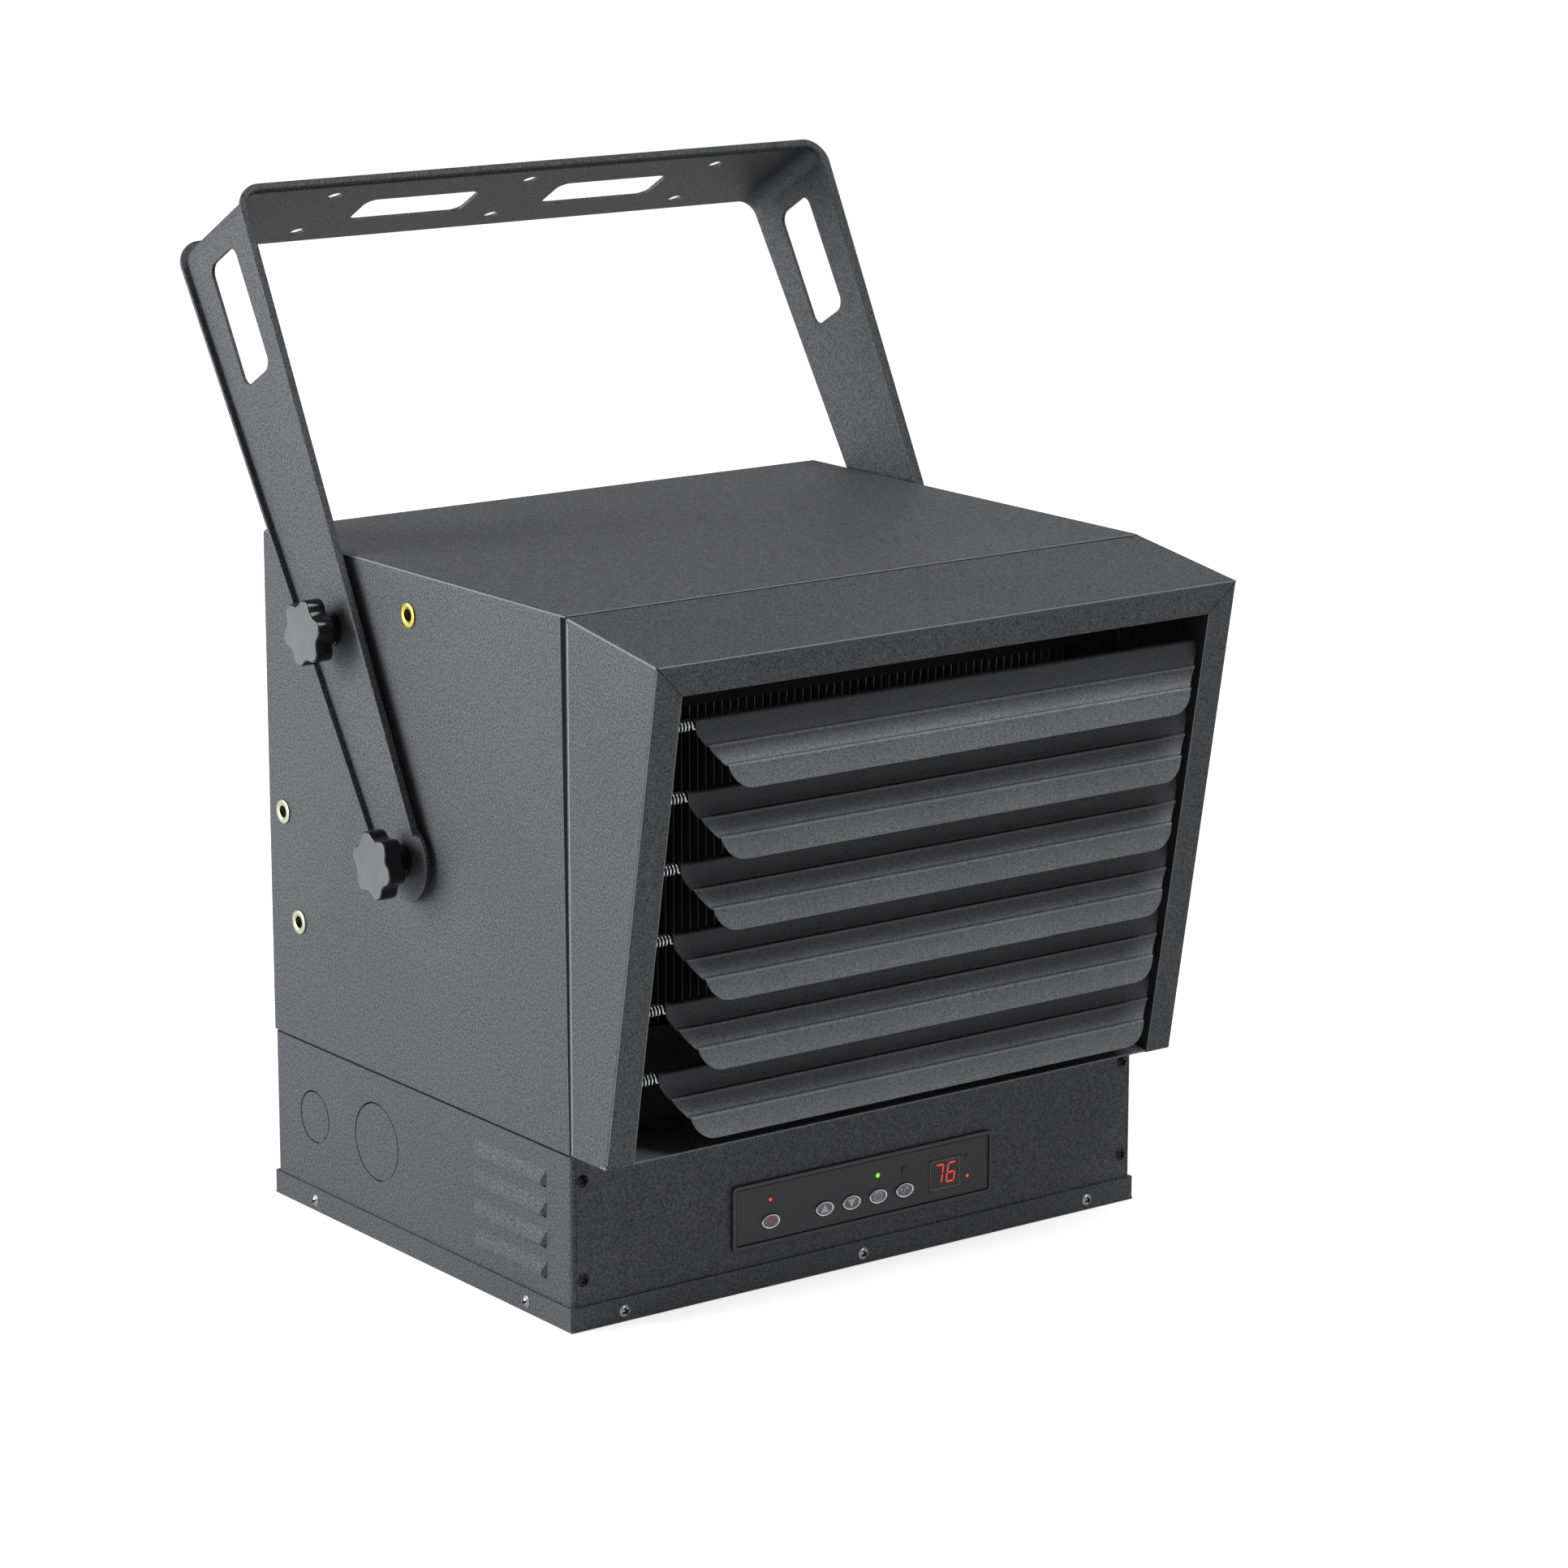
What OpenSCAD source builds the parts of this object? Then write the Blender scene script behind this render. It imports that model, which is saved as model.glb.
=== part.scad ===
// Ceiling mounted fan heater: a folded sheet steel casing over a control box, a sloping outlet
// hood with six sprung louvres, a finned heating pack, a rear fan and a tilting U bracket.
// Millimetres. X runs to the right seen from the front, Y to the back, Z up.
// The origin is the centre of the base tray's underside.

/* [Casing] */
// Width of the casing, the hood and the control box
body_w = 400; // [380:1:430]
// Depth of the casing, from the front plate to the rear
body_d = 312; // [300:1:330]
// Height of the casing's top above the base
body_h = 402; // [395:1:420]
// Height of the seam between the control box and the casing
seam_h = 101; // [98:1:106]
// Thickness of the folded steel sheet
sheet_t = 1.2; // [0.8:0.1:1.5]
// Outer radius of the folds in the casing
fold_r = 2.4; // [1.8:0.1:3]
// Height of the base tray's wall
tray_h = 14; // [12:1:16]

/* [Hood] */
// How far the hood's top edge stands out from the front plate
hood_out_top = 84.75; // [75:0.25:95]
// How far the hood's bottom edge stands out from the front plate
hood_out_bottom = 34.25; // [28:0.25:40]
// Height of the hood's front top edge
hood_top_z = 388.25; // [380:0.25:392]
// Width of the fascia round the outlet
fascia_w = 18.2; // [14:0.1:22]
// Depth of the fascia's inward return
return_d = 16; // [14:0.5:18]

/* [Louvres] */
// Distance between louvre pivots, down the slope of the fascia
louvre_pitch = 41.2; // [41:0.1:42]
// Distance from the hood's top edge to the first pivot, down the slope
louvre_first = 39.3; // [38:0.1:41]
// Distance of the pivots behind the fascia
pivot_back = 9; // [8:0.5:10]
// Angle of a louvre from the slope of the fascia
louvre_open = 43; // [20:1:60]
// Thickness of the louvre sheet
louvre_t = 0.8; // [0.6:0.1:1]
// Turns of each louvre spring
spring_turns = 5; // [4:1:7]

/* [Bracket] */
// Height of the bracket's pivot above the base
pivot_z = 237; // [230:1:244]
// Lean of the bracket from upright
bracket_lean = 30; // [0:1:90]
// Distance from the pivot to the underside of the crossbar
bracket_len = 391.5; // [380:0.5:400]
// Width of the crossbar and of the arms' upper ends
bracket_w = 82; // [76:1:86]
// Width of the arms at the pivot
arm_w = 44; // [40:1:50]
// Thickness of the bracket's steel strip
strip_t = 2; // [1.6:0.1:2.5]
// Depth of the bracket's outward lips, with the strip
lip_h = 5.6; // [4.5:0.1:7]
// Gap between the casing's side and an arm
arm_gap = 4; // [3.6:0.1:5]
// Radius from the pivot to the index nuts
index_r = 140; // [136:1:144]

/* [Knobs] */
// Radius of a knob over its lobes
knob_r = 19.8; // [18:0.1:22]
// Depth of a knob's lobed head
knob_head = 11.2; // [9:0.1:13]
// Distance from the casing's side to a knob's face
knob_face = 27.7; // [26:0.1:30]

/* [Fan] */
// Radius of the fan over its blades
fan_r = 118; // [110:1:121]
// Number of fan blades
blade_n = 5; // [3:1:6]
// Pitch of the fan blades
blade_pitch = 26; // [18:1:30]

/* [Control panel] */
// Width of the control panel
panel_w = 186; // [180:1:192]
// Height of the control panel
panel_h = 38; // [36:0.5:40]
// Height of the control panel's centre above the base
panel_z = 44; // [42:0.5:46]

/* [Hidden] */
$fn = 48;
eps = 0.01;

// Colours of the powder coat, the plating and the mouldings
coat = "#4a4b4e";
coat_inner = "#3c3d40";
phenolic = "#1c1d20";
zinc = "#c9cbc8";
yellow_zinc = "#d8c060";
bright_steel = "#b8babd";
dull_steel = "#8a8c8f";
element_steel = "#45433f";
panel_black = "#26262a";
button_grey = "#4d4e52";
board_green = "#2d5a3c";
nylon = "#d8d4c8";
relay_black = "#202124";
copper = "#a5643a";
lens_red = "#7a1512";
lens_dark = "#1a1214";

// Main places
half_w = body_w / 2;
front_y = -body_d / 2;
rear_y = body_d / 2;
seam_gap = 1.2;                        // shadow gaps between casing, hood and box
casing_front_y = front_y + 1;
casing_floor_z = seam_h + seam_gap / 2;
box_top_z = seam_h - seam_gap / 2;
flange_w = 14;                         // inward returns of the casing and the box
roof_fold_r = 1.6;                     // fold along the roof's front edge
tray_clear = 0.1;
tray_out = sheet_t + tray_clear;
corner_fold_r = 3;                     // folds round the box's upright corners
plate_half = half_w - 3.3;
screw_z = 6.2;
screw_hole_r = 2;
plate_screw_x = 192.5;
plate_screw_zs = [29, 86];

// Hood: the fascia lies in a plane that leans out towards its top
hood_rear_y = casing_front_y - seam_gap;
hood_top_y = front_y - hood_out_top;
hood_bottom_y = front_y - hood_out_bottom;
hood_bottom_z = seam_h + 0.9;
hood_rear_z = body_h - 0.8;
slope_len = norm([hood_top_y - hood_bottom_y, hood_top_z - hood_bottom_z]);
slope_a = atan2(hood_bottom_y - hood_top_y, hood_top_z - hood_bottom_z);
hood_fold_r = 1.8;
outlet_half = half_w - fascia_w;
sill_rise = 4;

// Louvres
roll_r = 3.2;
rod_r = 2;
roll_bore_r = rod_r + 0.08;
spring_room = 15.4;
louvre_x0 = -outlet_half + spring_room;
louvre_x1 = outlet_half - 0.8;
louvre_mid = (louvre_x0 + louvre_x1) / 2;
louvre_half = (louvre_x1 - louvre_x0) / 2;
step_1 = 13.7;                         // first and second ridge, from the pivot
step_2 = 25.9;
louvre_edge = 38.4;
edge_r = 15;
edge_drop = 4.3;
spring_wire_r = 0.45;
spring_r = 3.1;
spring_gap = 0.35;

// Bracket and knobs
bend_r = 2.6;
corner_r = 10;                         // inside radius of the two corners
arm_x = half_w + arm_gap;
arm_top = bracket_len - corner_r;
end_r = 24;
lip_start = 8;
taper_a = atan2((bracket_w - arm_w) / 2, arm_top);
hole_r = 4.75;
hole_dx = 136;
hole_dy = 25;
arm_window = [32, 76];
arm_window_mid = 333;
bar_window = [79, 30];
bar_window_mid = 68;
window_r = 7;
index_angles = [0, 30, 90, 117];
shoulder_r = hole_r - 0.08;
nut_bore_r = 3.4;
stud_r = nut_bore_r - 0.08;
nut_body_r = 5.45;
nut_flange_r = 7.2;
nut_flange_t = 1.2;
nut_len = 11;
washer_t = 1.1;
washer_r = 8.6;
running_gap = 0.1;
hub_r = 10;
hub_x = arm_gap + strip_t + washer_t + running_gap;
spacer_r = 16;

// Fan and motor
fan_z = (seam_h + body_h) / 2;
fan_y = 136;
orifice_r = fan_r + 7;
bell_r = 7;
bell_d = 22;
motor_y0 = 40;
motor_y1 = 110;
motor_r = 43;
shaft_r = 4;
mount_t = 2;
mount_r = 146;
guard_r = 142;
guard_pitch = 12;
guard_wire_r = 1.25;

// Heating pack
fin_pitch = 5.5;
fin_n = 55;
fin_t = 0.5;
fin_z0 = 165;
fin_z1 = 342;
fin_y0 = -150.5;
fin_y1 = -116;
tube_r = 4;
tube_y = -132.5;                       // middle of each hairpin, between its two legs
tube_half = 7.5;
tube_zs = [195, 253.5, 312];
tube_x0 = -174;
tube_x1 = 149.5;
frame_half = 164;

// Control panel: places from the panel's middle, seen from the front
panel_x = 0.6;
button_rx = 6.3;
button_rz = 4.3;
button_travel = 0.8;
button_gap = 0.3;
button_xs = [-66.6, -28.6, -9.4, 9.6, 28.8];
button_dz = -5.4;
light_places = [[-66.6, 7.4], [9.8, 6.9], [74.8, -5.5], [74.8, 6]];
receiver_place = [29, 6.1];
display_mid = [59, -1.6];
display_size = [23.4, 20];
rim_w = 2.4;
rim_out = 1.8;
face_out = 1.1;
panel_body = 2.2;
board_y = 7;

// ---- helpers ----

// Rectangle from [x0, y0] to [x1, y1]
module rect(x0, y0, x1, y1) {
    translate([x0, y0]) square([x1 - x0, y1 - y0]);
}

// Rectangle w by h about its middle, with round corners
module round_rect(w, h, r) {
    square([w - 2 * r, h], center = true);
    square([w, h - 2 * r], center = true);
    for (sx = [-1, 1], sy = [-1, 1])
        translate([sx * (w / 2 - r), sy * (h / 2 - r)]) circle(r);
}

// Oval with the half axes rx and rz
module oval(rx, rz) {
    polygon([for (a = [0:10:350]) [rx * cos(a), rz * sin(a)]]);
}

// Solid from a drawing in X and Z, running from y0 back to y1
module along_y(y0, y1) {
    translate([0, y1, 0]) rotate([90, 0, 0]) linear_extrude(y1 - y0) children();
}

// Solid from a drawing in Y and Z, running from x0 to x1
module along_x(x0, x1) {
    translate([x0, 0, 0]) rotate([90, 0, 90]) linear_extrude(x1 - x0) children();
}

// Solid from a drawing in X and Y, running from z0 up to z1
module along_z(z0, z1) {
    translate([0, 0, z0]) linear_extrude(z1 - z0) children();
}

// Box between two corners
module box(p, q) {
    translate(p) cube(q - p);
}

// Cylinders along X and Y
module rod_x(x0, x1, r) {
    translate([x0, 0, 0]) rotate([0, 90, 0]) cylinder(h = x1 - x0, r = r);
}
module rod_y(y0, y1, r) {
    translate([0, y1, 0]) rotate([90, 0, 0]) cylinder(h = y1 - y0, r = r);
}

// Draws its children on the left side as they are, and mirrored on the right
module both_sides() {
    children();
    mirror([1, 0, 0]) children();
}

// Pan head screw with a cross recess; its seat is z = 0 and its head points to +Z
module pan_screw(head_r, head_h, shank_r, shank_len) {
    dome_r = (head_r * head_r + head_h * head_h) / (2 * head_h);
    difference() {
        union() {
            intersection() {
                cylinder(h = head_h, r = head_r);
                translate([0, 0, head_h - dome_r]) sphere(dome_r);
            }
            translate([0, 0, -shank_len]) cylinder(h = shank_len + eps, r = shank_r);
        }
        for (a = [20, 110])
            rotate([0, 0, a]) translate([0, 0, head_h])
                cube([head_r * 1.05, head_r * 0.26, head_h * 1.1], center = true);
    }
}

// ---- casing ----

// Upright outline in X and Z with its two upper corners round
module arch_outline(half, z0, z1, r) {
    rect(-half, z0, half, z1 - r);
    rect(-half + r, z0, half - r, z1);
    for (s = [-1, 1])
        translate([s * (half - r), z1 - r]) circle(r);
}

// Frame that returns inwards by w at one end of the casing
module casing_return(w) {
    difference() {
        arch_outline(half_w, casing_floor_z, body_h, fold_r);
        rect(-half_w + w, casing_floor_z - 1, half_w - w, body_h - w);
    }
}

// Places its children at the pivot and index nuts of both sides, outwards being -X
module nut_places() {
    both_sides() {
        translate([-half_w, 0, pivot_z]) children();
        for (a = index_angles)
            translate([-half_w, index_r * sin(a), pivot_z + index_r * cos(a)]) children();
    }
}

module casing_shell() {
    inner_z = body_h - sheet_t;
    color(coat) difference() {
        union() {
            along_y(casing_front_y, rear_y) difference() {
                arch_outline(half_w, casing_floor_z, body_h, fold_r);
                arch_outline(half_w - sheet_t, casing_floor_z - 1, inner_z, fold_r - sheet_t);
            }
            along_y(casing_front_y, casing_front_y + sheet_t) casing_return(flange_w);
            along_y(rear_y - sheet_t, rear_y) casing_return(flange_w);
            both_sides()
                box([-half_w + eps, casing_front_y + eps, casing_floor_z],
                    [-half_w + flange_w, rear_y - eps, casing_floor_z + sheet_t]);
        }
        nut_places() rod_x(-4, 4, nut_body_r + 0.05);
        along_x(-half_w - 1, half_w + 1) translate([casing_front_y, body_h]) difference() {
            rect(-1, -roof_fold_r, roof_fold_r, 1);
            translate([roof_fold_r, -roof_fold_r] * 0.97) circle(roof_fold_r);
        }
    }
}

module rivet_nuts() {
    color(yellow_zinc) nut_places() difference() {
        union() {
            rod_x(-nut_flange_t, 0, nut_flange_r);
            rod_x(-eps, nut_len, nut_body_r);
            rod_x(sheet_t + 0.05, 4.6, nut_body_r + 1.4);
        }
        rod_x(-5, nut_len + 5, nut_bore_r);
    }
}

module pivot_spacers() {
    color(nylon) both_sides() translate([-half_w, 0, pivot_z]) difference() {
        rod_x(-arm_gap + running_gap, -nut_flange_t, spacer_r);
        rod_x(-arm_gap - 1, 0, shoulder_r + 0.3);
    }
}

// Section of the orifice's bellmouth: radius across, depth into the casing up
module bell_section() {
    t = sheet_t;
    translate([orifice_r, 0]) polygon([[bell_r + 2, 0], [bell_r + 2, t], [4.4, t + 1],
        [t + 1, t + 3.2], [t, bell_r + 2], [t, bell_d], [0, bell_d], [0, bell_r + 1.6],
        [1, 3.8], [3.6, 1], [bell_r, 0]]);
}

// Places its children at the guard's four fixing points on the rear panel's outer face
module guard_places() {
    for (a = [45:90:315])
        translate([guard_r * cos(a), rear_y - sheet_t, fan_z + guard_r * sin(a)]) children();
}

module rear_panel() {
    inset = sheet_t + running_gap;
    color(coat) difference() {
        union() {
            difference() {
                along_y(rear_y - 2 * sheet_t, rear_y - sheet_t)
                    rect(-half_w + inset, casing_floor_z + inset, half_w - inset, body_h - inset);
                translate([0, 0, fan_z])
                    rod_y(rear_y - 10, rear_y + 5, orifice_r + bell_r + 1);
            }
            translate([0, rear_y - sheet_t, fan_z]) rotate([90, 0, 0])
                rotate_extrude() bell_section();
        }
        guard_places() rod_y(-5, 5, screw_hole_r);
    }
}

module rear_guard() {
    wire_y = rear_y + 4;
    ring_mid = guard_r - 10;
    wire_n = floor((ring_mid - 6) / guard_pitch);
    color(zinc) {
        translate([0, rear_y + 3.4, fan_z]) rotate([90, 0, 0]) rotate_extrude()
            rect(ring_mid - 2, 0, ring_mid + 2, 3.9);
        for (i = [-wire_n:wire_n]) {
            reach = sqrt(ring_mid * ring_mid - pow(i * guard_pitch, 2));
            translate([i * guard_pitch, wire_y, fan_z - reach])
                cylinder(h = 2 * reach, r = guard_wire_r);
        }
        for (s = [-1, 1]) {
            z = fan_z + s * guard_pitch * 4;
            box([-ring_mid * 0.93, wire_y + 0.6, z - 1.5], [ring_mid * 0.93, wire_y + 3, z + 1.5]);
        }
        for (a = [45:90:315]) translate([0, 0, fan_z]) rotate([0, -a, 0]) difference() {
            union() {
                translate([guard_r, 0, 0]) rod_y(rear_y - sheet_t, rear_y, 6);
                box([ring_mid - 1, rear_y - sheet_t, -4], [guard_r, rear_y, 4]);
            }
            translate([guard_r, 0, 0]) rod_y(rear_y - 5, rear_y + 5, screw_hole_r);
        }
    }
}

module guard_screws() {
    color(zinc) guard_places() translate([0, sheet_t, 0])
        rotate([-90, 0, 0]) pan_screw(3.8, 2.2, screw_hole_r - 0.05, 8);
}

module divider_shelf() {
    inset = 7;
    color(coat_inner) difference() {
        box([-half_w + inset, front_y + inset, box_top_z],
            [half_w - inset, rear_y - inset, casing_floor_z]);
        translate([120, 60, box_top_z - 1]) cylinder(h = 4, r = 9);
    }
}

// ---- hood ----

// Turns a drawing onto the fascia's plane: X across, Y up the slope from the hood's top edge,
// Z out to the front
module on_fascia() {
    translate([0, hood_top_y, hood_top_z]) rotate([90 + slope_a, 0, 0]) children();
}

// Profile of the hood in Y and Z with every face moved in by d; its bottom and rear run on past
// the cuts
roof_a = atan2(hood_rear_z - hood_top_z, hood_rear_y - hood_top_y);
function hood_profile(d) = let(
    low_z = hood_bottom_z - 20,
    far_y = hood_rear_y + 20,
    low_y = hood_top_y + (d + (hood_top_z - low_z) * sin(slope_a)) / cos(slope_a),
    bend = d / cos(slope_a - roof_a)
) [
    [far_y, low_z],
    [low_y, low_z],
    [hood_top_y + bend * (cos(roof_a) + sin(slope_a)),
     hood_top_z - bend * (cos(slope_a) - sin(roof_a))],
    [far_y, hood_top_z - d / cos(roof_a) + (far_y - hood_top_y) * tan(roof_a)]
];

// The hood as a solid block: its nose, its fascia's sides and its roof's sides have round folds
module hood_block() {
    r = hood_fold_r;
    face = hood_profile(0);
    nose = hood_profile(r)[2];
    intersection() {
        along_x(-half_w, half_w) {
            polygon([face[0], face[1], nose - r * [cos(slope_a), sin(slope_a)],
                     nose + r * [-sin(roof_a), cos(roof_a)], face[3]]);
            translate(nose) circle(r);
        }
        on_fascia() rotate([90, 0, 0]) translate([0, 0, -60])
            linear_extrude(slope_len + 120) arch_outline(half_w, -260, 0, r);
        translate([0, hood_top_y, hood_top_z]) rotate([roof_a, 0, 0])
            along_y(-60, 260) arch_outline(half_w, -460, 0, r);
    }
}

module hood() {
    ring_in = 9;
    bite = 0.4;                        // overlap of the returns with the sheet
    color(coat) difference() {
        union() {
            difference() {
                hood_block();
                along_x(-half_w + sheet_t, half_w - sheet_t) polygon(hood_profile(sheet_t));
                on_fascia() box([-outlet_half, -slope_len - 40, -5], [outlet_half, -fascia_w, 5]);
            }
            // returns of the fascia
            on_fascia() {
                both_sides() box([-outlet_half - sheet_t, -slope_len - 4, -return_d],
                                 [-outlet_half, -fascia_w + sheet_t, -bite]);
                box([-outlet_half - sheet_t, -fascia_w, -return_d],
                    [outlet_half + sheet_t, -fascia_w + sheet_t, -bite]);
            }
            // rear frame, and the narrower ring by which it meets the casing
            along_y(hood_rear_y - sheet_t, hood_rear_y) difference() {
                rect(-half_w + bite, hood_bottom_z - 5, half_w - bite, hood_rear_z - sheet_t + bite);
                rect(-half_w + flange_w, 0, half_w - flange_w, body_h - flange_w);
            }
            along_y(hood_rear_y - bite, casing_front_y) difference() {
                rect(-half_w + ring_in, hood_bottom_z - 5, half_w - ring_in,
                     hood_rear_z - ring_in);
                rect(-half_w + flange_w, 0, half_w - flange_w, body_h - flange_w);
            }
            // strips that close the bottom beside the outlet
            both_sides() along_x(-half_w + bite, -outlet_half - bite)
                rect(hood_bottom_y + 0.6, hood_bottom_z - 5, hood_rear_y - bite,
                     hood_bottom_z + sheet_t);
        }
        box([-body_w, -body_w, -eps], [body_w, body_w, hood_bottom_z]);
        box([-body_w, casing_front_y, -1], [body_w, body_w, 2 * body_h]);
        along_y(hood_rear_y, body_w) difference() {
            square(4 * body_h, center = true);
            rect(-half_w + ring_in, -body_h, half_w - ring_in, hood_rear_z - ring_in);
        }
        on_fascia() for (k = [0:5])
            translate([0, -louvre_first - k * louvre_pitch, -pivot_back])
                rod_x(-half_w + 5, half_w - 5, rod_r + 0.05);
    }
}

module outlet_sill() {
    y0 = hood_bottom_y + 0.4;
    y1 = front_y;
    y2 = casing_front_y + sheet_t;
    z0 = hood_bottom_z + 0.2;
    z1 = z0 + sill_rise;
    color(coat) along_x(-outlet_half + 0.05, outlet_half - 0.05)
        polygon([[y0, z0], [y1, z1], [y2, z1], [y2, z1 + sheet_t], [y1, z1 + sheet_t],
                 [y0, z0 + sheet_t]]);
}

// ---- louvres ----

// Ridged section of a blade's sheet: distance from the pivot, height over the blade's plane
louvre_line = [
    [0, roll_r - louvre_t / 2], [3.4, 1.1], [8, -0.4], [step_1 - 1.2, -0.8],
    [step_1, 0.7], [step_1 + 1.1, -0.4], [step_1 + 6, -1], [step_2 - 1.2, -0.9],
    [step_2, 0.5], [step_2 + 1.1, -0.5], [32.6, -2.1], [louvre_edge, -edge_drop]
];

module louvre_section() {
    n = len(louvre_line);
    difference() {
        union() {
            circle(roll_r);
            polygon(concat(
                [for (p = louvre_line) [-p[0], p[1] + louvre_t / 2]],
                [for (i = [n - 1:-1:0]) [-louvre_line[i][0], louvre_line[i][1] - louvre_t / 2]]
            ));
        }
        circle(roll_bore_r);
    }
}

// Blade seen square on: it narrows from the pivot to an edge with round corners
module louvre_outline() {
    in_1 = louvre_half - 4.9;
    in_2 = louvre_half - 13.2;
    mid_y = edge_r - louvre_edge;
    from_a = asin((-step_2 - mid_y) / edge_r);
    edge_half = in_2 - edge_r * cos(from_a);
    corner = [for (i = [1:8]) let(a = from_a - i * (90 + from_a) / 8)
        [edge_half + edge_r * cos(a), mid_y + edge_r * sin(a)]];
    right = concat([[louvre_half, 5], [louvre_half, -5], [in_1, -step_1], [in_2, -step_2]], corner);
    n = len(right);
    polygon(concat(right, [for (i = [n - 1:-1:0]) [-right[i][0], right[i][1]]]));
}

module louvre(k) {
    color(coat) on_fascia()
        translate([louvre_mid, -louvre_first - k * louvre_pitch, -pivot_back])
            rotate([-louvre_open, 0, 0]) intersection() {
                along_x(-louvre_half, louvre_half) louvre_section();
                along_z(-8, 8) louvre_outline();
            }
}

module louvre_rods() {
    head_x = outlet_half + sheet_t;
    color(zinc) on_fascia() for (k = [0:5])
        translate([0, -louvre_first - k * louvre_pitch, -pivot_back]) {
            rod_x(-head_x - 1, head_x + 1, rod_r);
            both_sides() rod_x(-head_x - 1.8, -head_x - 0.05, rod_r + 1);
        }
}

// Spring wire path round X: its ends run straight along X, the curls lie between
wind_steps = 8;
lead_n = 3;
coil_n = spring_turns * wind_steps;
path_n = coil_n + 2 * lead_n;
spring_len = spring_room - spring_gap;
lead_dx = 0.42;
straight = 2 * spring_wire_r;

// Share of full winding speed at step i, rising from 0 at the ends to 1 along the curls
function wind(i) = min(1, max(0, min(i, path_n - 1 - i) / lead_n));
wind_total = [for (i = 0, s = 0; i <= path_n; s = s + wind(i), i = i + 1) s];
slow_total = [for (i = 0, s = 0; i <= path_n; s = s + 1 - wind(i), i = i + 1) s];
coil_dx = (spring_len - 2 * straight - lead_dx * slow_total[path_n]) / wind_total[path_n];
spring_x = concat([0], [for (i = [0:path_n]) straight + coil_dx * wind_total[i]
                        + lead_dx * slow_total[i]], [spring_len]);
spring_a = concat([0], [for (i = [0:path_n]) 360 / wind_steps * wind_total[i]],
                  [360 / wind_steps * wind_total[path_n]]);
spring_path = [for (i = [0:path_n + 2])
    [spring_x[i], spring_r * cos(spring_a[i]), spring_r * sin(spring_a[i])]];
function unit(v) = v / norm(v);
function tangent(p, i) = i == 0 || i == len(p) - 1 ? [1, 0, 0] : unit(p[i + 1] - p[i - 1]);
spring_clear = min([for (i = [0:path_n + 2], j = [i + 5:1:path_n + 2])
    norm(spring_path[i] - spring_path[j])]) - 2 * spring_wire_r;
echo(spring_self_gap = spring_clear, spring_pitch = coil_dx * wind_steps);

module spring_wire() {
    sides = 6;
    n = len(spring_path);
    points = [for (i = [0:n - 1], k = [0:sides - 1])
        let(t = tangent(spring_path, i),
            out = [0, cos(spring_a[i]), sin(spring_a[i])],
            side = unit(cross(t, out)))
        spring_path[i] + spring_wire_r * (cos(60 * k) * out + sin(60 * k) * side)];
    walls = [for (i = [0:n - 2], k = [0:sides - 1])
        let(a = i * sides + k, b = i * sides + (k + 1) % sides)
        each [[a, b, a + sides], [b, b + sides, a + sides]]];
    ends = [for (k = [1:sides - 2])
        each [[0, k + 1, k], [(n - 1) * sides, (n - 1) * sides + k, (n - 1) * sides + k + 1]]];
    polyhedron(points, concat(walls, ends));
}

module louvre_springs() {
    color(bright_steel) on_fascia() for (k = [0:5])
        translate([-outlet_half, -louvre_first - k * louvre_pitch, -pivot_back]) spring_wire();
}

// ---- control box ----

// Places its children at the tray's screws, heads pointing to +Z
module tray_screw_places(out) {
    for (x = [-166, 0, 166]) {
        translate([x, front_y - out, screw_z]) rotate([90, 0, 0]) children();
        translate([x, rear_y + out, screw_z]) rotate([-90, 0, 0]) children();
    }
    for (y = [-112, 112]) {
        translate([half_w + out, y, screw_z]) rotate([0, 90, 0]) children();
        translate([-half_w - out, y, screw_z]) rotate([0, -90, 0]) children();
    }
}

module plate_screw_places() {
    for (s = [-1, 1], z = plate_screw_zs)
        translate([s * plate_screw_x, front_y, z]) rotate([90, 0, 0]) children();
}

// Plan of the box's walls: closed at the rear, folded round the front corners
module box_plan() {
    inner_fold = corner_fold_r - sheet_t;
    difference() {
        round_rect(body_w, body_d, corner_fold_r);
        round_rect(body_w - 2 * sheet_t, body_d - 2 * sheet_t, inner_fold);
        rect(-plate_half - 0.3, front_y - 1, plate_half + 0.3, front_y + 10);
    }
    for (s = [0, 1]) mirror([s, 0]) {
        rect(-plate_half - 2, front_y + sheet_t - 0.15, -plate_half - 0.15, front_y + 2 * sheet_t);
        rect(-plate_half - 1, front_y + sheet_t, -half_w + 17, front_y + 2 * sheet_t);
    }
}

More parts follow.
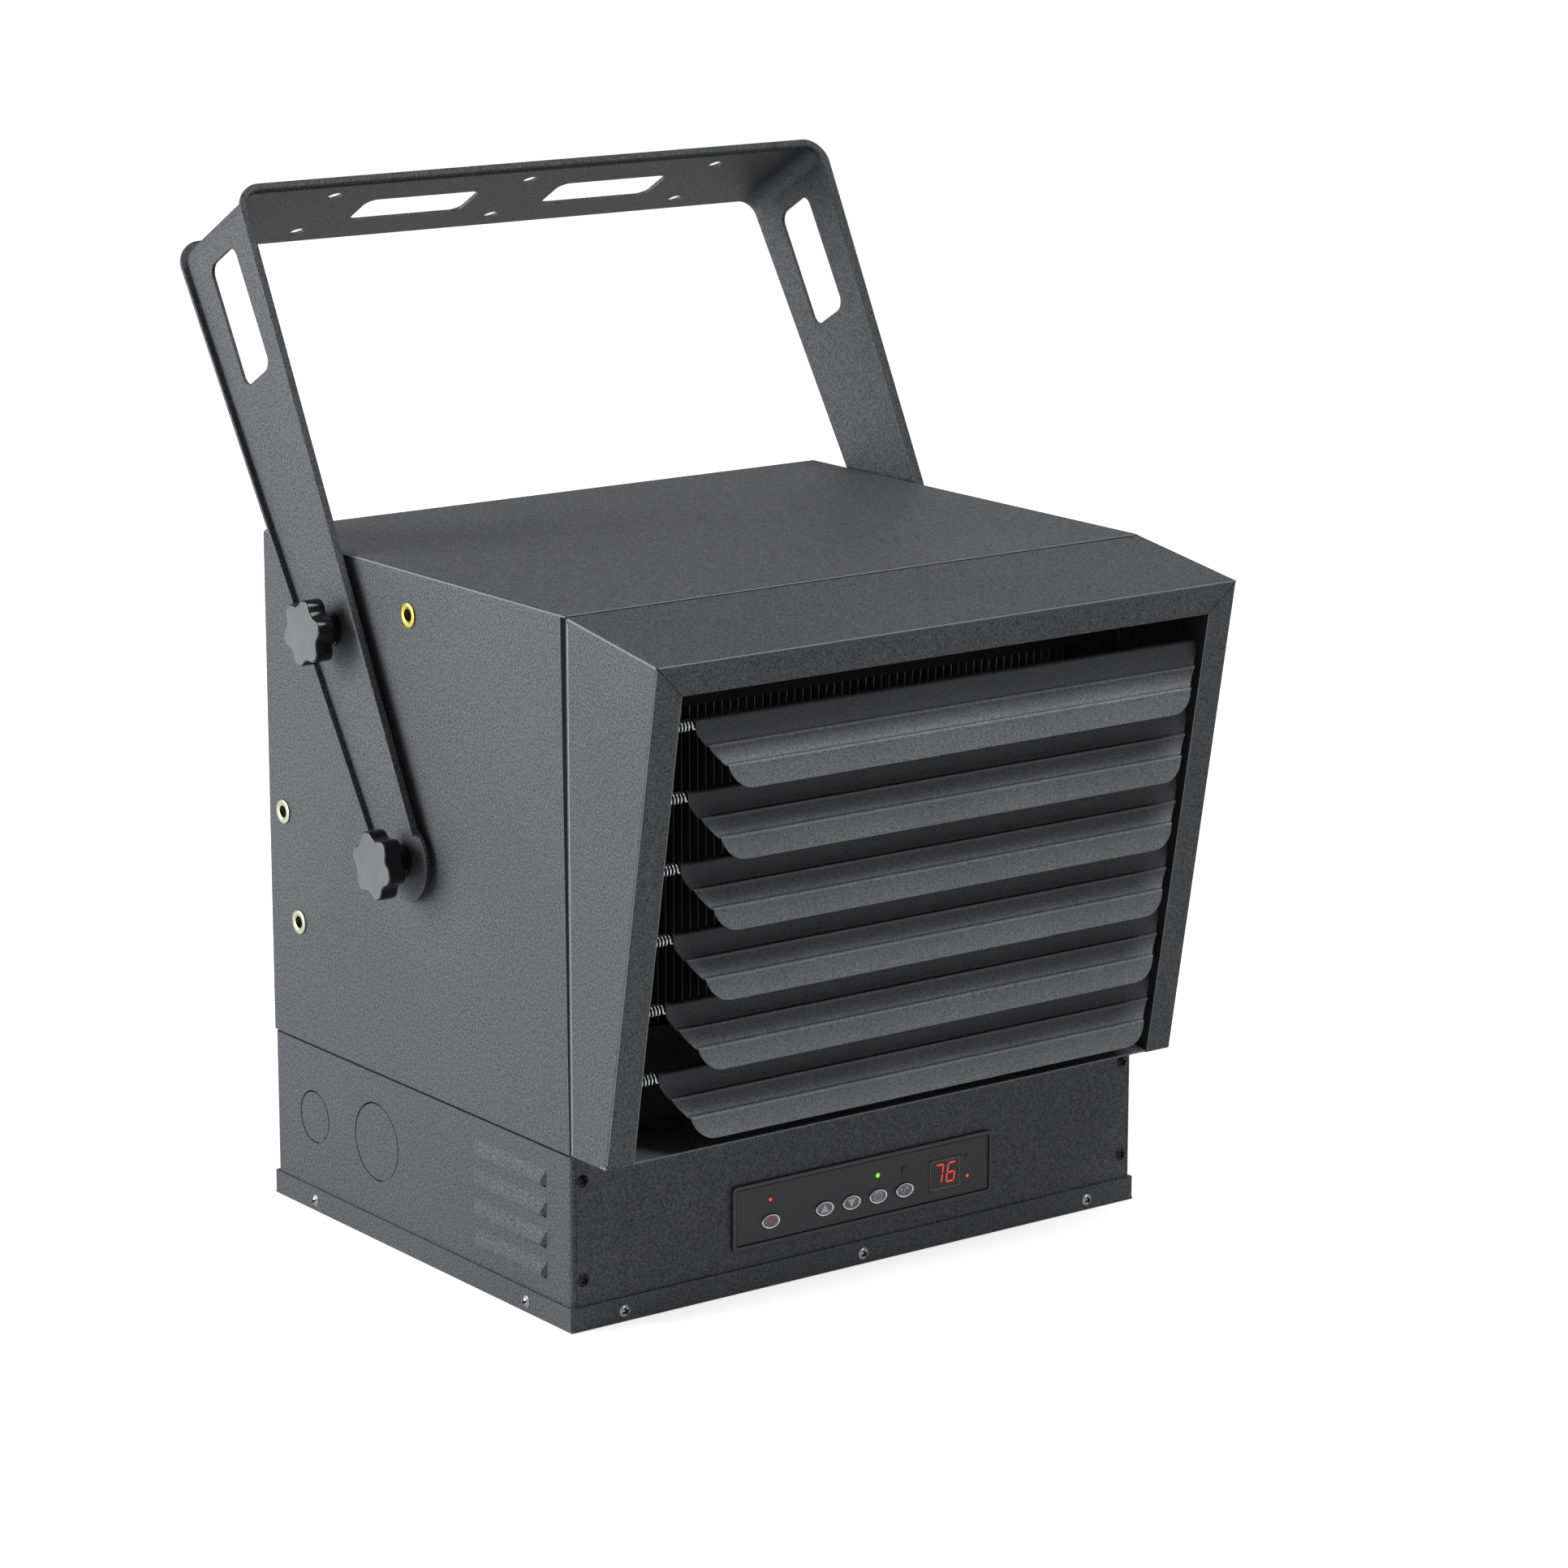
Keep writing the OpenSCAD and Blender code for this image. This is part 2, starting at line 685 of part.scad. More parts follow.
// Pressed gill on a side wall, outwards being -X, from y0 back to y1; hollow and open below
gill_y0 = -132;
gill_y1 = -59;
gill_zs = [82.9, 65.4, 47.7, 30.1];
gill_out = 2.8;
module gill_section(inset) {
    if (inset == 0)
        polygon([[1, 5.4], [0, 5.4], [-0.25, 4.2], [-0.9, 2.6], [-1.8, 0.6], [-2.5, -1.6],
                 [-gill_out, -3.3], [-gill_out + 0.2, -4], [1, -4]]);
    else
        polygon([[2, 2.6], [0.1, 2.2], [-0.9, 0.2], [-1.65, -1.9], [-gill_out + 0.9, -3.3],
                 [-gill_out + 0.9, -5.4], [2, -5.4]]);
}
module gill(inset) {
    tip = 8 - inset;
    intersection() {
        along_y(gill_y0 + inset, gill_y1 - inset * 2) gill_section(inset);
        along_z(-8, 8) translate([inset, 0]) polygon([[3, gill_y0], [0, gill_y0],
            [-gill_out - 1, gill_y0 + 4], [-gill_out - 1, gill_y1 - tip - 2],
            [-gill_out * 0.7, gill_y1 - tip * 0.45], [0, gill_y1], [3, gill_y1]]);
    }
}

// Places its children at the gills of both sides
module gill_places() {
    both_sides() for (z = gill_zs) translate([-half_w, 0, z]) children();
}

// Ring slit round a knockout, through the wall behind it and shallow in front
module knockout_cut(y, z, r) {
    slit = 0.9;
    translate([-half_w, y, z]) {
        intersection() {
            difference() {
                rod_x(-1, 3, r);
                rod_x(-2, 4, r - slit);
            }
            difference() {
                box([-3, -0.22 * r, -2 * r], [5, 2 * r, 2 * r]);
                rotate([-68, 0, 0]) box([-3, 0, -1.1], [5, 2 * r, 1.1]);
            }
        }
        difference() {
            rod_x(-1, 0.35, r);
            rod_x(-2, 4, r - slit);
        }
    }
}

module control_box() {
    z0 = sheet_t + eps;
    color(coat) difference() {
        union() {
            along_z(z0, box_top_z) box_plan();
            // flanges that carry the divider shelf
            along_z(box_top_z - sheet_t, box_top_z) difference() {
                round_rect(body_w, body_d, corner_fold_r);
                rect(-half_w + flange_w, front_y - 1, half_w - flange_w, rear_y - flange_w);
                rect(-half_w, front_y - 1, half_w, front_y + 2 * sheet_t);
            }
            gill_places() gill(0);
        }
        gill_places() gill(0.8);
        knockout_cut(112.7, 57.4, 16);
        knockout_cut(44.4, 59.2, 23.5);
        tray_screw_places(0) translate([0, 0, -8]) cylinder(h = 12, r = screw_hole_r);
        plate_screw_places() translate([0, 0, -8]) cylinder(h = 12, r = screw_hole_r);
    }
}

module front_plate() {
    cut_w = panel_w - 6;
    cut_h = panel_h - 6;
    color(coat) difference() {
        union() {
            along_y(front_y, front_y + sheet_t)
                rect(-plate_half, sheet_t + eps, plate_half, box_top_z);
            box([-half_w + 17, front_y + eps, box_top_z - sheet_t],
                [half_w - 17, front_y + 13, box_top_z]);
        }
        translate([panel_x, 0, panel_z]) along_y(front_y - 1, front_y + 3)
            square([cut_w, cut_h], center = true);
        tray_screw_places(0) translate([0, 0, -8]) cylinder(h = 12, r = screw_hole_r);
        plate_screw_places() translate([0, 0, -8]) cylinder(h = 12, r = screw_hole_r);
    }
}

module base_tray() {
    notch = 0.7;                       // the folded walls don't quite meet at the corners
    color(coat) difference() {
        along_z(0, tray_h)
            square([body_w + 2 * tray_out, body_d + 2 * tray_out], center = true);
        along_z(sheet_t, tray_h + 1) for (sx = [-1, 1], sy = [-1, 1])
            translate([sx * (half_w + tray_out), sy * (rear_y + tray_out)])
                square(2 * notch, center = true);
        along_z(sheet_t, tray_h + 1)
            round_rect(body_w + 2 * tray_clear, body_d + 2 * tray_clear, corner_fold_r);
        tray_screw_places(0) translate([0, 0, -8]) cylinder(h = 12, r = screw_hole_r);
    }
}

module tray_screws() {
    color(bright_steel) tray_screw_places(tray_out) pan_screw(3.5, 2.1, screw_hole_r - 0.05, 9);
}

module plate_screws() {
    color(phenolic) plate_screw_places() pan_screw(3.65, 2.2, screw_hole_r - 0.05, 8);
}

// ---- control panel ----

// Solid from a drawing about the panel's middle; depths are from the plate's face, outwards minus
module on_panel(y0, y1) {
    translate([panel_x, front_y, panel_z]) along_y(y0, y1) children();
}

module control_panel() {
    color(panel_black) difference() {
        union() {
            on_panel(-rim_out, -face_out + eps) difference() {
                round_rect(panel_w, panel_h, 3);
                round_rect(panel_w - 2 * rim_w, panel_h - 2 * rim_w, 1.6);
            }
            on_panel(-face_out, 0) round_rect(panel_w, panel_h, 3);
            on_panel(-eps, panel_body) square([panel_w - 6.6, panel_h - 6.6], center = true);
            for (s = [-1, 1])
                on_panel(panel_body - eps, board_y) translate([s * 85, 0]) circle(3);
        }
        on_panel(-5, 9) {
            for (x = button_xs)
                translate([x, button_dz]) oval(button_rx + button_gap, button_rz + button_gap);
            for (p = light_places) translate(p) circle(1.5);
            translate(receiver_place) circle(2.4);
            translate(display_mid) square(display_size, center = true);
        }
    }
}

module display_lens() {
    color(lens_red) on_panel(-face_out - 0.3, 1.4)
        translate(display_mid) square([display_size[0] - 0.1, display_size[1] - 0.1], center = true);
}

module light_lenses() {
    color(lens_red) for (p = light_places) translate([panel_x + p[0], front_y, panel_z + p[1]]) {
        rod_y(-face_out - 0.2, panel_body + 2, 1.45);
        rod_y(panel_body, panel_body + 1, 2);
    }
}

module receiver_window() {
    color(lens_dark) translate([panel_x + receiver_place[0], front_y, panel_z + receiver_place[1]])
        rod_y(-face_out - 0.4, panel_body, 2.35);
}

module button(i) {
    x = button_xs[i];
    flange_y = panel_body + running_gap;
    color(button_grey) difference() {
        union() {
            on_panel(-face_out - 1.2, flange_y + eps) translate([x, button_dz])
                oval(button_rx - 0.4, button_rz - 0.4);
            on_panel(-face_out - 0.7, flange_y + eps) translate([x, button_dz])
                oval(button_rx, button_rz);
            on_panel(flange_y, flange_y + 1) translate([x, button_dz])
                oval(button_rx + 1, button_rz + 1);
            translate([panel_x + x, front_y, panel_z + button_dz]) rod_y(flange_y, 4.4, 1.4);
        }
        // shallow hollow for the finger
        translate([panel_x + x, front_y - face_out - 1.2 - 24.7, panel_z + button_dz]) sphere(25);
    }
}

module display_board() {
    color(board_green) difference() {
        on_panel(board_y, board_y + 1.6) square([176, 30], center = true);
        on_panel(board_y - 1, board_y + 3) for (s = [-1, 1]) translate([s * 85, 0]) circle(1.2);
    }
    color(relay_black) on_panel(1.5, board_y - eps)
        translate(display_mid) square([display_size[0] - 2, display_size[1] - 2], center = true);
}

module key_switches() {
    color(relay_black) for (x = button_xs) on_panel(5.7, board_y) translate([x, button_dz])
        square([6, 6], center = true);
    color(relay_black) for (x = button_xs)
        translate([panel_x + x, front_y, panel_z + button_dz]) rod_y(5.3, 5.8, 1.7);
}

// ---- inside the control box ----

module power_board() {
    color(board_green) box([-30, 20, 10], [90, 110, 11.6]);
    color(nylon) for (x = [-24, 84], y = [26, 104])
        translate([x, y, sheet_t]) cylinder(h = 10 - sheet_t, r = 3);
}

module relays() {
    color(relay_black) for (x = [-22, 2, 26])
        box([x, 70, 11.6], [x + 19, 98, 11.6 + 22]);
}

module transformer() {
    color(dull_steel) box([52, 72, 11.6], [84, 98, 40]);
    color(copper) for (s = [0, 1])
        box([56, 66 + s * 32, 16], [80, 72 + s * 32, 36]);
}

module terminal_block() {
    color(nylon) difference() {
        union() {
            box([-172, 28, sheet_t], [-142, 92, 20]);
            for (i = [0:4]) box([-172, 28 + i * 15.5, 19.9], [-142, 30 + i * 15.5, 28]);
        }
        for (i = [0:3])
            translate([-157, 37.2 + i * 15.5, 12]) cylinder(h = 20, r = 2.6);
    }
    color(yellow_zinc) for (i = [0:3])
        translate([-157, 37.2 + i * 15.5, 12]) cylinder(h = 9, r = 2.55);
}

module earth_screw() {
    color("#3f8f4c") translate([-120, 112, sheet_t + 0.8]) pan_screw(4.6, 2.6, 2.4, 0.8);
    color(zinc) translate([-120, 112, sheet_t]) difference() {
        cylinder(h = 0.8, r = 5.6);
        translate([0, 0, -1]) cylinder(h = 3, r = 2.4);
    }
}

// ---- heating pack ----

module heater_fins() {
    tie = 1;
    slot = 2 * tube_r + 0.4;
    reach = tube_y - tube_half - tube_r - 0.2;
    x1 = (fin_n - 1) / 2 * fin_pitch;
    color(bright_steel) {
        for (i = [0:fin_n - 1]) {
            x = i * fin_pitch - x1;
            along_x(x - fin_t / 2, x + fin_t / 2) difference() {
                rect(fin_y0, fin_z0, fin_y1, fin_z1);
                for (z = tube_zs) rect(reach, z - slot / 2, fin_y1 + 1, z + slot / 2);
            }
        }
        box([-x1, fin_y0 + 2, fin_z0], [x1, fin_y1 - 2, fin_z0 + tie]);
        box([-x1, fin_y0 + 2, fin_z1 - tie], [x1, fin_y1 - 2, fin_z1]);
    }
}

module heater_tubes() {
    color(element_steel) for (z = tube_zs) {
        for (s = [-1, 1]) translate([0, tube_y + s * tube_half, z]) {
            rod_x(tube_x0, tube_x1 + eps, tube_r);
            rod_x(tube_x0 - 12, tube_x0 + eps, 1.6);
        }
        translate([tube_x1, tube_y, z]) rotate([0, 0, -90]) rotate_extrude(angle = 180)
            translate([tube_half, 0]) circle(tube_r);
    }
}

module heater_frame() {
    y0 = casing_front_y + sheet_t;
    y1 = fin_y1 + 1;
    inset = sheet_t + running_gap;
    color(bright_steel) difference() {
        union() {
            along_y(y0, y0 + 1)
                rect(-half_w + inset, casing_floor_z + inset, half_w - inset, body_h - inset);
            along_y(y0 + eps, y1)
                rect(-frame_half - 1, fin_z0 - 1, frame_half + 1, fin_z1 + 1);
        }
        along_y(y0 - 1, y1 + 1) rect(-frame_half, fin_z0, frame_half, fin_z1);
        for (z = tube_zs, s = [-1, 1])
            translate([0, tube_y + s * tube_half, z]) rod_x(-frame_half - 3, 0, tube_r);
    }
}

module limit_switch() {
    z = fin_z1 + 1;
    color(phenolic) translate([-60, tube_y, z + 1]) cylinder(h = 9, r = 8);
    color(bright_steel) {
        box([-74, tube_y - 5, z], [-46, tube_y + 5, z + 1]);
        for (s = [-1, 1]) box([-63.2 + s * 4 + 2, tube_y - 3, z + 9.9],
                              [-60.8 + s * 4, tube_y + 3, z + 16]);
    }
}

// ---- fan and motor ----

// Turns X, Y about the shaft: children are drawn with the shaft along Z, rear up
module on_shaft(y) {
    translate([0, y, fan_z]) rotate([-90, 0, 0]) children();
}

module fan_blades() {
    camber_r = 90;
    chord = 70;
    blade_t = 1.2;
    half_a = asin(chord / 2 / camber_r);
    color(dull_steel) on_shaft(fan_y) difference() {
        union() {
            intersection() {
                translate([0, 0, -30]) cylinder(h = 60, r = fan_r);
                for (i = [0:blade_n - 1]) rotate([0, 0, i * 360 / blade_n])
                    rotate([blade_pitch, 0, 0]) rotate([90, 0, 90]) translate([0, 0, 18])
                        linear_extrude(fan_r) translate([0, -camber_r + 6]) intersection() {
                            difference() {
                                circle(camber_r, $fn = 96);
                                circle(camber_r - blade_t, $fn = 96);
                            }
                            polygon([[0, 0], [camber_r * 2 * sin(-half_a), camber_r * 2 * cos(half_a)],
                                     [camber_r * 2 * sin(half_a), camber_r * 2 * cos(half_a)]]);
                        }
            }
            translate([0, 0, -13]) cylinder(h = 26, r = 23);
        }
        translate([0, 0, -40]) cylinder(h = 80, r = shaft_r);
    }
}

module motor_shaft() {
    color(bright_steel) translate([0, 0, fan_z]) rod_y(motor_y0 - 6, fan_y + 15, shaft_r);
}

module motor_rotor() {
    color(dull_steel) translate([0, 0, fan_z]) difference() {
        rod_y(motor_y0 + 14, motor_y1 - 14, 23.5);
        rod_y(motor_y0, motor_y1, shaft_r);
    }
}

module motor_stator() {
    color(copper) translate([0, 0, fan_z]) difference() {
        rod_y(motor_y0 + 10, motor_y1 - 10, motor_r - 1.6);
        rod_y(motor_y0, motor_y1, 24);
    }
}

module motor_bushes() {
    color("#b08a4a") translate([0, 0, fan_z])
        for (y = [motor_y0, motor_y1 - 6]) difference() {
            rod_y(y, y + 6, 9);
            rod_y(y - 1, y + 7, shaft_r + 0.06);
        }
}

module motor_housing() {
    color(dull_steel) translate([0, 0, fan_z]) difference() {
        rod_y(motor_y0, motor_y1, motor_r);
        rod_y(motor_y0 + 1.5, motor_y1 - 1.5, motor_r - 1.5);
        rod_y(motor_y0 - 5, motor_y1 + 5, 9);
        for (a = [0:45:315]) rotate([0, a, 0]) translate([31, 0, 0]) rod_y(0, motor_y1 + 5, 3.5);
    }
}

module motor_mount() {
    y0 = motor_y1;
    color(zinc) translate([0, 0, fan_z]) difference() {
        union() {
            rod_y(y0, y0 + mount_t, 26);
            for (a = [0:90:270]) rotate([0, a, 0]) {
                box([20, y0, -8], [mount_r, y0 + mount_t, 8]);
                box([mount_r - mount_t, y0, -8], [mount_r, rear_y - 2 * sheet_t, 8]);
                if (a % 180 == 0)
                    box([mount_r - mount_t, rear_y - 2 * sheet_t - mount_t, -8],
                        [mount_r + 14, rear_y - 2 * sheet_t, 8]);
            }
        }
        rod_y(y0 - 5, y0 + 10, 12);
    }
}

// ---- bracket ----

// Draws its children in the bracket's own upright frame, the pivot at the origin
module on_bracket() {
    translate([0, 0, pivot_z]) rotate([-bracket_lean, 0, 0]) children();
}

// Whole section of the strip: X out from the casing, its inner face on X = 0
module strip_section() {
    half = bracket_w / 2;
    difference() {
        union() {
            rect(0, -half + bend_r, lip_h, half - bend_r);
            rect(bend_r, -half, lip_h, half);
            for (s = [-1, 1]) translate([bend_r, s * (half - bend_r)]) circle(bend_r);
        }
        rect(strip_t, -half + strip_t, lip_h + 1, half - strip_t);
    }
}

// Space inside one tapered edge of an arm: all of it with the round bend, or only the channel
module inside_edge(channel) {
    top_half = bracket_w / 2 - 0.05;
    translate([0, top_half, arm_top]) rotate([-taper_a, 0, 0]) translate([0, 0, -arm_top - 20])
        linear_extrude(arm_top + 60) mirror([0, 1]) {
            if (channel) rect(strip_t, strip_t, lip_h + 1, 120);
            else {
                rect(bend_r, 0, lip_h, 120);
                rect(0, bend_r, lip_h, 120);
                translate([bend_r, bend_r]) circle(bend_r);
            }
        }
}

module bracket_arm() {
    translate([arm_x, 0, 0]) {
        difference() {
            intersection() {
                along_x(0, lip_h) rect(-80, lip_start, 80, arm_top);
                inside_edge(false);
                mirror([0, 1, 0]) inside_edge(false);
            }
            intersection() {
                inside_edge(true);
                mirror([0, 1, 0]) inside_edge(true);
            }
        }
        along_x(0, strip_t) intersection() {
            circle(end_r);
            rect(-end_r, -end_r, end_r, lip_start + 3);
        }
    }
}

module bracket() {
    color(coat) on_bracket() difference() {
        union() {
            both_sides() mirror([1, 0, 0]) {
                bracket_arm();
                translate([arm_x - corner_r, 0, arm_top]) rotate([90, 0, 0])
                    rotate_extrude(angle = 90) translate([corner_r, 0]) strip_section();
            }
            translate([0, 0, bracket_len]) rotate([0, -90, 0])
                linear_extrude(2 * (arm_x - corner_r), center = true) strip_section();
        }
        // pivot and index holes and the windows of the arms
        for (z = [0, index_r]) translate([0, 0, z]) {
            rod_x(-arm_x - 20, -arm_x + 5, hole_r);
            rod_x(arm_x - 5, arm_x + 20, hole_r);
        }
        both_sides() translate([0, 0, arm_window_mid]) along_x(-arm_x - 20, -arm_x + 5)
            round_rect(arm_window[0], arm_window[1], window_r);
        // holes and windows of the crossbar
        for (x = [-hole_dx, 0, hole_dx], y = [-hole_dy, hole_dy])
            translate([x, y, bracket_len - 5]) cylinder(h = 20, r = hole_r);
        for (s = [-1, 1]) translate([s * bar_window_mid, 0, bracket_len - 5])
            linear_extrude(20) round_rect(bar_window[0], bar_window[1], window_r);
    }
}

module arm_washers() {
    color(phenolic) on_bracket() both_sides() for (z = [0, index_r])
        translate([-arm_x - strip_t, 0, z]) difference() {
            rod_x(-washer_t, 0, washer_r);
            rod_x(-5, 5, hole_r);
        }
}

// ---- knobs: drawn for the left side, outwards being -X, the casing's face at X = 0 ----

module knob_star() {
    u = knob_r / 19.8;
    difference() {
        union() {
            circle(17.4 * u);
            for (a = [0:60:300]) rotate(a) translate([13.8 * u, 0]) circle(6 * u);
        }
        for (a = [30:60:330]) rotate(a) translate([23 * u, 0]) circle(7 * u);
    }
}

module knob_grip() {
    head_x = -knob_face + knob_head;
    color(phenolic) difference() {
        union() {
            along_x(-knob_face, head_x) rotate(12) knob_star();
            rod_x(head_x - eps, -hub_x, hub_r);
        }
        rod_x(-knob_face + 4, 0, 3.9);
    }
}

// The end of an upper stud stops short of its index nut, so that the bracket can swing
module knob_stud(end_x) {
    color(zinc) {
        rod_x(-nut_flange_t - 2 * running_gap, end_x, stud_r);
        rod_x(-hub_x, -nut_flange_t - running_gap, shoulder_r);
        rod_x(-knob_face + 4, -hub_x + eps, 3.9);
    }
}

module at_lower_knob() {
    translate([-half_w, 0, pivot_z]) children();
}
module at_upper_knob() {
    on_bracket() translate([-half_w, 0, index_r]) children();
}

// ---- the part ----

casing_shell();
rear_panel();
rear_guard();
guard_screws();
hood();
outlet_sill();
divider_shelf();
control_box();
front_plate();
base_tray();
tray_screws();
plate_screws();
rivet_nuts();
pivot_spacers();
control_panel();
display_lens();
light_lenses();
receiver_window();
display_board();
key_switches();
power_board();
relays();
transformer();
terminal_block();
earth_screw();
heater_fins();
heater_tubes();
heater_frame();
limit_switch();
motor_housing();
motor_stator();
motor_bushes();
motor_mount();
louvre_rods();
louvre_springs();
bracket();
arm_washers();
at_lower_knob() knob_grip();  // knob_grip_lower_left
at_lower_knob() knob_stud(nut_len - 1);  // knob_stud_lower_left
mirror([1, 0, 0]) at_lower_knob() knob_grip();  // knob_grip_lower_right
mirror([1, 0, 0]) at_lower_knob() knob_stud(nut_len - 1);  // knob_stud_lower_right
at_upper_knob() knob_grip();  // knob_grip_upper_left
at_upper_knob() knob_stud(-nut_flange_t - 1.5 * running_gap);  // knob_stud_upper_left
mirror([1, 0, 0]) at_upper_knob() knob_grip();  // knob_grip_upper_right
mirror([1, 0, 0]) at_upper_knob() knob_stud(-nut_flange_t - 1.5 * running_gap);  // knob_stud_upper_right
louvre(0);  // louvre_1
louvre(1);  // louvre_2
louvre(2);  // louvre_3
louvre(3);  // louvre_4
louvre(4);  // louvre_5
louvre(5);  // louvre_6
fan_blades();
motor_rotor();
motor_shaft();
button(0);  // button_power
button(1);  // button_up
button(2);  // button_down
button(3);  // button_timer
button(4);  // button_unit
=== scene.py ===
# Ceiling mounted fan heater in charcoal powder coat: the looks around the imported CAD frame.
# Everything is drawn in millimetres in the CAD's own places and turned to metres at the end.
import random
from math import atan2, cos, degrees, pi, radians, sin, sqrt, tan

import bmesh
import bpy
from mathutils import Matrix, Vector


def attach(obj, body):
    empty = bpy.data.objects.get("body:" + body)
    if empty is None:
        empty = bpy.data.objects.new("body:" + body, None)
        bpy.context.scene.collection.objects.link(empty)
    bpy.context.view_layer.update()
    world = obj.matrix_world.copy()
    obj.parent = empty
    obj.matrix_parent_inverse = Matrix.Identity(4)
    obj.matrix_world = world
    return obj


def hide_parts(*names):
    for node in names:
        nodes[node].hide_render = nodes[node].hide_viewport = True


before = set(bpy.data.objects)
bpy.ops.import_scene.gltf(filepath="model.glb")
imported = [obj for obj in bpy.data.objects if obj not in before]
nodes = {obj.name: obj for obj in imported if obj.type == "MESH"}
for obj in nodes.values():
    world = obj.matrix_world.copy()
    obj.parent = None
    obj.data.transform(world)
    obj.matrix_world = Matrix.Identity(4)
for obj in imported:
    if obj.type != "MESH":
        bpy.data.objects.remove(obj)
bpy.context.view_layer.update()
print("frame loaded:", len(nodes), "nodes")


def toLinear(hexColour):
    parts = [int(hexColour[i:i + 2], 16) / 255 for i in (1, 3, 5)]
    linear = [c / 12.92 if c <= 0.04045 else ((c + 0.055) / 1.055) ** 2.4 for c in parts]
    return (*linear, 1.0)


# Links a node's inputs; a source is a socket, or a node that stands for its first output
def linkInputs(tree, node, links):
    for key, source in links.items():
        tree.links.new(getattr(source, "outputs", [source])[0], node.inputs[key])


def addNode(tree, kind, settings=None, links=None):
    made = tree.nodes.new("ShaderNode" + kind)
    for key, value in (settings or {}).items():
        if isinstance(key, str) and hasattr(made, key):
            setattr(made, key, value)
        else:
            made.inputs[key].default_value = value
    linkInputs(tree, made, links or {})
    return made


# Settings of a range node, and of a mix of a material's two tones
def ranged(fromMin, fromMax, toMin, toMax):
    return {"From Min": fromMin, "From Max": fromMax, "To Min": toMin, "To Max": toMax}


def tones(low, high):
    return {"data_type": "RGBA", 6: toLinear(low), 7: toLinear(high)}


def startMaterial(name):
    material = bpy.data.materials.new(name)
    material.use_nodes = True
    tree = material.node_tree
    place = addNode(tree, "TexCoord").outputs["Object"]
    return material, tree, tree.nodes["Principled BSDF"], place


# Joins a colour to the shader, with a roughness and a relief that follow one pattern: rough
# holds the roughness at the pattern's values in span, reach is the relief's depth in metres
def joinSurface(tree, shader, colour, pattern, span, rough, bump, reach):
    uneven = addNode(tree, "MapRange", ranged(*span, *rough), {"Value": pattern})
    relief = addNode(tree, "Bump", {"Strength": bump, "Distance": reach}, {"Height": pattern})
    linkInputs(tree, shader, {"Base Color": colour, "Roughness": uneven, "Normal": relief})


def moved(matrix, points):
    return [matrix @ Vector(p) for p in points]


# A place that is turned by degrees about an axis and lies at spot
def posed(spot, angle=0, axis="X"):
    return Matrix.Translation(spot) @ Matrix.Rotation(radians(angle), 4, axis)


# Even angles round a full turn, and both ends and the steps between them of a part of one
def turns(count):
    return [2 * pi * i / count for i in range(count)]


def arc(fromDeg, toDeg, steps):
    return [radians(fromDeg + (toDeg - fromDeg) * i / steps) for i in range(steps + 1)]


def around(r, a):
    return r * cos(a), r * sin(a)


# Skins a row of rings, each a list of points in the same order; index is a material's place in
# the piece's list, or gives it from the ring's and the point's numbers
def skin(bm, rings, index=0, capped=True):
    made = [[bm.verts.new(p) for p in ring] for ring in rings]
    count = len(made[0])
    pick = index if callable(index) else (lambda row, i: index)
    for row, (low, high) in enumerate(zip(made, made[1:])):
        for i in range(count):
            j = (i + 1) % count
            bm.faces.new((low[i], low[j], high[j], high[i])).material_index = pick(row, i)
    if capped:
        bm.faces.new(made[0][::-1]).material_index = pick(0, 0)
        bm.faces.new(made[-1]).material_index = pick(len(made) - 2, 0)


# Skins one flat outline between levels, where place turns a point and a level into a spot
def prism(bm, outline, levels, place, index=0):
    skin(bm, [[place(p, level) for p in outline] for level in levels], index)


# Rings of a turned form about +Z from (radius, height) pairs
def turnedRings(profile, count, matrix):
    return [moved(matrix, [(*around(r, a), h) for a in turns(count)]) for r, h in profile]


def addObject(name, data):
    made = bpy.data.objects.new(name, data)
    bpy.context.scene.collection.objects.link(made)
    return made


def makePiece(name, bm, materials, body="casing", replaced=(), smoothAngle=50):
    bmesh.ops.scale(bm, vec=(0.001, 0.001, 0.001), verts=bm.verts)
    bmesh.ops.recalc_face_normals(bm, faces=bm.faces)
    mesh = bpy.data.meshes.new(name)
    bm.to_mesh(mesh)
    bm.free()
    mesh.shade_smooth()
    mesh.set_sharp_from_angle(angle=radians(smoothAngle))
    for material in materials:
        mesh.materials.append(material)
    piece = addObject(name, mesh)
    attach(piece, body)
    if replaced:
        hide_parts(*replaced)
    return piece


